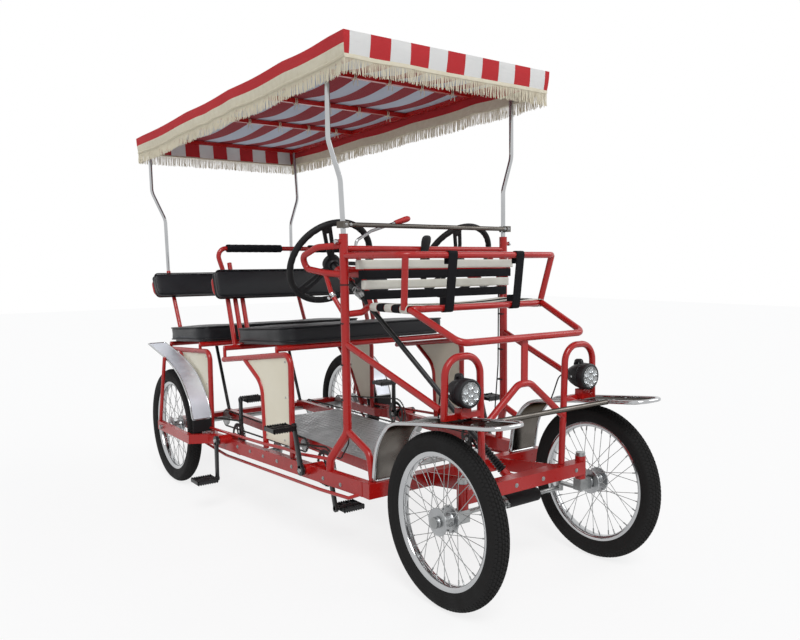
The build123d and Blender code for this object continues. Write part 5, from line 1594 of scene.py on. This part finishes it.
def makeLevers(g):
    levers = sorted(islands("hand_levers"), key=lambda b: b[0].x - b[1].x)
    low, high = levers[0]
    y = (low.y + high.y) / 2
    r = g["lever"]
    start, end = Vector((low.x + r, y, low.z)), Vector((high.x - r * 0.5, y, high.z - r * 1.1))
    span = end - start
    route = [start, start + Vector((span.x * 0.02, 0, span.z * 0.26)),
             start + Vector((span.x * 0.31, 0, span.z * 0.58)), end]
    rod, knob, paddle = bmesh.new(), bmesh.new(), bmesh.new()
    sweep(rod, roundedRoute(route, 0.03), circle(r * 0.85, 14), up=Vector((0, 1, 0)))
    addPiece(rod, "brakeLever", "chromePlate", "bright_steel", 40, replaced=["hand_levers"])
    k, q = g["knobLength"], r * 1.7
    spin(knob, [(-k, 0), (-k, q * 0.7), (-k * 0.97, q * 0.8), (-k * 0.4, q * 0.92), (0.0, q), (0.012, q * 0.92),
                (0.019, q * 0.6), (0.021, 0)], 24, closed=False)
    addPiece(knob, "brakeGrip", "redGripRubber", "painted_red", 50, lookAlong(end, route[-1] - route[-2]))
    low, high = levers[-1]
    middle = (low + high) / 2
    halfX, halfY = (high.x - low.x) / 2, gear["halfDepth"]
    foot, top = Vector((middle.x, high.y - halfY, low.z)), Vector((middle.x, low.y + halfY, high.z))
    rings = []
    for share, wide, deep in gear["rings"]:
        spot = foot.lerp(top, share)
        rings.append([paddle.verts.new(spot + Vector((halfX * wide * cos(a), halfY * deep * sin(a), 0)))
                      for a in [2 * pi * k / 16 for k in range(16)]])
    bridge(paddle, rings)
    addPiece(paddle, "gearLever", "mouldedBlackAbs", "black_plastic", 60)


makeFoam(grip)
makeDamper(grip)
makeLevers(grip)
print("grips ready")

# ---- collars, bolts, bosses and rivets ----
fitting = {"post": 0.015, "collar": 0.028, "boss": 0.0085, "rivet": 0.0042, "railBolt": 0.0048, "sheetBolt": 0.0034,
           "plateBolt": 0.0032, "clampHeights": (0.926, 0.904), "clampWall": 0.0018, "clampLong": 0.017,
           "stayGap": 0.012, "stayRise": 0.075}
# where the rivets sit, as shares of each panel's length and height
rivetShares = ((0.90, 0.955), (0.08, 0.955), (0.08, 0.55), (0.86, 0.55), (0.60, 0.30), (0.10, 0.25), (0.12, 0.05),
               (0.55, 0.05))


def firstHit(origin, way, nodes):
    # the first CAD surface that a line meets among some nodes
    best = None
    for node in nodes:
        shape = frame["nodes"][node]
        turn = shape.matrix_world.inverted()
        hit, spot, normal, _ = shape.ray_cast(turn @ origin, (turn.to_3x3() @ way).normalized())
        if hit:
            spot = shape.matrix_world @ spot
            if best is None or (spot - origin).length < (best[0] - origin).length:
                best = (spot, (shape.matrix_world.to_3x3() @ normal).normalized())
    return best


def topRing(node, sign):
    # the centre of a node's highest end on one side
    corners = [v.co for v in frame["nodes"][node].data.vertices if v.co.x * sign > 0]
    top = max(p.z for p in corners)
    low, high = spanOf([p for p in corners if p.z > top - 0.002])
    return (low + high) / 2


def addBolts(shape, probes, node, radius):
    # a bolt wherever a probe, a start and a way, meets the node
    for origin, way in probes:
        found = firstHit(Vector(origin), Vector(way), [node])
        if found:
            addBolt(shape, *found, radius)


def makePostTops(f):
    chrome, red = bmesh.new(), bmesh.new()
    for sign in sides.values():
        top = topRing("posts", sign)
        wide, high = f["post"], f["collar"]
        addSpin(chrome, [(0.0003, 0), (0.0003, wide * 0.98), (0.003, wide * 0.98), (0.004, wide * 0.86),
                         (high, wide * 0.82), (high, 0)], 32, lookAlong(top, Vector((0, 0, 1))))
        look = lookAlong(top + Vector((sign * wide, 0, -0.026)), Vector((sign, 0, 0)))
        addSpin(red, [(-0.002, 0), (-0.002, f["boss"]), (0.007, 0.008), (0.007, 0)], 20, look)
        addSpin(chrome, [(0.007, 0), (0.007, 0.0038), (0.013, 0.0038), (0.013, 0.0082), (0.020, 0.0082),
                         (0.021, 0.0066), (0.021, 0)], 12, look)
    addPiece(chrome, "postCollars", "chromePlate", "bright_steel", 35)
    addPiece(red, "postBosses", "glossEnamelRed", "painted_red", 35)


def makeBolts(f):
    steel = bmesh.new()
    low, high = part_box("wind_bar")
    addBolts(steel, [((sign * (high.x - step), low.y - 0.2, (low.z + high.z) / 2), (0, 1, 0))
                     for sign in (-1, 1) for step in (0.012, 0.03)], "wind_bar", f["sheetBolt"])
    low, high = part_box("front_crossbeam")
    addBolts(steel, [((x, low.y - 0.2, (low.z + high.z) / 2), (0, 1, 0)) for x in (-0.22, -0.06, 0.06, 0.22)],
             "front_crossbeam", f["railBolt"])
    low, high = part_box("side_rails")
    addBolts(steel, [((sign * (high.x + 0.3), low.y + 0.12 + (high.y - low.y - 0.24) * n / 8, (low.z + high.z) / 2),
                      (-sign, 0, 0)) for n in range(9) for sign in (-1, 1)], "side_rails", f["railBolt"])
    low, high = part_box("floor_plate")
    addBolts(steel, [((sign * (high.x - 0.012), low.y + 0.02 + (high.y - low.y - 0.04) * n / 6, high.z + 0.3),
                      (0, 0, -1)) for n in range(7) for sign in (-1, 1)], "floor_plate", f["plateBolt"])
    low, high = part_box("front_fenders")
    rows = (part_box("fender_strip")[0].y + 0.008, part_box("lamp_hoops")[0].y + 0.06)
    addBolts(steel, [((sign * (high.x - 0.064 + x), y, high.z + 0.3), (0, 0, -1))
                     for sign in (-1, 1) for x in (-0.03, 0.03) for y in rows], "front_fenders", f["sheetBolt"])
    addPiece(steel, "frameBolts", "zincPlatedSteel", "plain_steel", 35)


def makeRivets(f):
    reach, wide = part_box("side_panels")[1].x + 0.2, f["rivet"]
    shape = bmesh.new()
    for low, high in sorted(islands("side_panels"), key=lambda b: b[0].y):
        sign = 1 if low.x > 0 else -1
        way = Vector((-sign, 0, 0))
        for along, up in rivetShares:
            spot = Vector((sign * reach, low.y + (high.y - low.y) * along, low.z + (high.z - low.z) * up))
            found = firstHit(spot, way, ["side_panels"])
            if found:
                addSpin(shape, [(-0.001, 0), (-0.001, wide), (0.0004, wide), (0.0016, wide * 0.72),
                                (0.0022, wide * 0.3), (0.0023, 0)], 14, lookAlong(found[0], -way))
    addPiece(shape, "panelRivets", "zincPlatedSteel", "plain_steel", 60)


def slicedRing(node, z, sign):
    # the centre and the least half width of a node cut level at one height, on one side
    shape = bmesh.new()
    shape.from_mesh(frame["nodes"][node].data)
    cut = bmesh.ops.bisect_plane(shape, geom=shape.verts[:] + shape.edges[:] + shape.faces[:],
                                 plane_co=(0, 0, z), plane_no=(0, 0, 1))["geom_cut"]
    ring = [v.co.copy() for v in cut if isinstance(v, bmesh.types.BMVert) and v.co.x * sign > 0]
    shape.free()
    low, high = spanOf(ring)
    return (low + high) / 2, min(high.x - low.x, high.y - low.y) / 2


def makeElbowClamps(f):
    shape = bmesh.new()
    for sign in sides.values():
        (upper, radius), (lower, _) = (slicedRing("elbow_guards", z, sign) for z in f["clampHeights"])
        wide, long = radius + f["clampWall"], f["clampLong"] / 2
        middle = (upper + lower) / 2
        addSpin(shape, [(-long, 0), (-long, wide * 0.95), (-long * 0.85, wide), (long * 0.85, wide),
                        (long, wide * 0.95), (long, 0)], 28, lookAlong(middle, lower - upper))
        addSpin(shape, [(wide * 0.8, 0), (wide * 0.8, 0.0032), (wide + 0.007, 0.0032), (wide + 0.007, 0.0062),
                        (wide + 0.0125, 0.0062), (wide + 0.0135, 0.005), (wide + 0.0135, 0)], 12,
                lookAlong(middle, Vector((sign, -0.3, -0.5)).normalized()))
    addPiece(shape, "elbowClamps", "chromePlate", "bright_steel", 35)


def makeStayTops(f):
    # the short inner stays run on behind the front backrest
    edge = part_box("backrest_front")[0].z
    lean, rise = radians(backPads["front"]["lean"]), f["stayRise"]
    shape = bmesh.new()
    for sign in sides.values():
        low, high = spanOf([v.co for v in frame["nodes"]["bench_frame_front"].data.vertices
                            if v.co.x * sign > 0 and f["stayGap"] > edge - v.co.z > 0.001])
        wide = (high.x - low.x) / 2
        addSpin(shape, [(-0.002, 0), (-0.002, wide), (rise - 0.001, wide), (rise, wide * 0.9), (rise, 0)], 24,
                lookAlong((low + high) / 2, Vector((0, sin(lean), cos(lean)))))
    addPiece(shape, "stayTops", "glossEnamelRed", "painted_red", 60)


makePostTops(fitting)
makeElbowClamps(fitting)
makeStayTops(fitting)
makeBolts(fitting)
makeRivets(fitting)
print("fittings ready")

# ---- canopy ties ----
tie = {"radius": 0.0016, "loop": 0.0125, "spots": (-0.31, -0.155, 0.0, 0.155, 0.31), "lean": 0.004, "drop": 0.014}


def makeTies(t):
    shape = bmesh.new()
    r, outline = t["loop"], circle(t["radius"], 6)
    for y in canopyBarStops()[1:-1]:
        height = canopyTopAt(y) - t["drop"]
        for x in t["spots"]:
            for lean in (-t["lean"], t["lean"]):
                route = [(x + lean, y + r * cos(a), height - 0.0005 + r * sin(a) * 1.05)
                         for a in [2 * pi * k / 20 for k in range(20)]]
                sweep(shape, route, outline, closed=True, up=Vector((1, 0, 0)))
            for fall in (-1, 1):
                sweep(shape, [(x, y - r * 0.9, height - 0.006), (x + fall * 0.007, y - r - 0.002, height - 0.019),
                              (x + fall * 0.010, y - r + 0.002, height - 0.036)], outline)
    addPiece(shape, "canopyTies", "creamCotton", "canopy_cloth", 60)


makeTies(tie)
print("canopy ties ready")

# ---- cables ----
cable = {"radius": 0.0024, "gap": 0.0178, "bend": 0.05, "tie": 0.0165, "bulge": 0.0035,
         "tieHeights": (0.95, 0.82, 0.68, 0.56)}


def makeCable(name, route, c):
    # one control or lamp cable that leaves the object and goes back into it
    line = roundedRoute(route, c["bend"], 8)
    shape = bmesh.new()
    sweep(shape, line, circle(c["radius"], 8))
    piece = addPiece(shape, name, "mouldedBlackRubber", "black_rubber", 60)


def makeCables(c):
    lever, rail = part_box("hand_levers")[0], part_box("side_rails")[1].z
    top = topRing("posts", -1)
    nearX, y = top.x, top.y
    x, front = nearX + c["gap"], y + 0.006
    left = [(x, front, 1.02), (x, front, 0.62), (x + 0.004, y + 0.02, 0.42), (nearX + 0.05, y + 0.14, rail + 0.008),
            (nearX + 0.06, y + 0.45, rail + 0.006)]
    routes = [[(lever.x + 0.01, lever.y + 0.006, lever.z + 0.012), (lever.x - 0.03, y + 0.05, lever.z - 0.03),
               (x, front, lever.z - 0.10), (x, front, 0.60), (x + 0.004, y + 0.02, 0.40),
               (nearX + 0.05, y + 0.12, rail + 0.008), (nearX + 0.06, y + 0.35, rail + 0.006)],
              [(-p[0], p[1], p[2]) for p in left]]
    for low, high in islands("headlamps"):
        sign = -1 if low.x < 0 else 1
        x, middle = (low.x + high.x) / 2, (low.z + high.z) / 2
        foot = firstHit(Vector((x, high.y + 0.05, low.z + 0.04)), Vector((0, 0, -1)),
                        ["front_fenders", "front_crossbeam"])
        base = foot[0].z + 0.004 if foot else low.z - 0.08
        routes.append([(x, high.y - 0.004, middle), (x, high.y + 0.035, middle - 0.01),
                       (x - sign * 0.006, high.y + 0.055, base + 0.022),
                       (x - sign * 0.012, high.y + 0.062, base - 0.004)])
    for n, route in enumerate(routes):
        makeCable(f"cable_{n + 1}", route, c)
    ties, r, bulge = bmesh.new(), c["tie"], c["bulge"]
    for sign in (-1, 1):
        for z in c["tieHeights"]:
            # the loop swells towards the middle, where the cable lies against the post
            route = [(-sign * nearX + r * cos(a) - (bulge * sign if cos(a) * sign < -0.3 else 0), y + r * sin(a), z)
                     for a in [2 * pi * k / 28 for k in range(28)]]
            sweep(ties, route, [(-0.0009, -0.0022), (0.0009, -0.0022), (0.0009, 0.0022), (-0.0009, 0.0022)],
                  closed=True)
    addPiece(ties, "cableTies", "mouldedBlackAbs", "black_plastic", 60)


makeCables(cable)
print("cables ready")

# ---- done ----
print("scene ready")
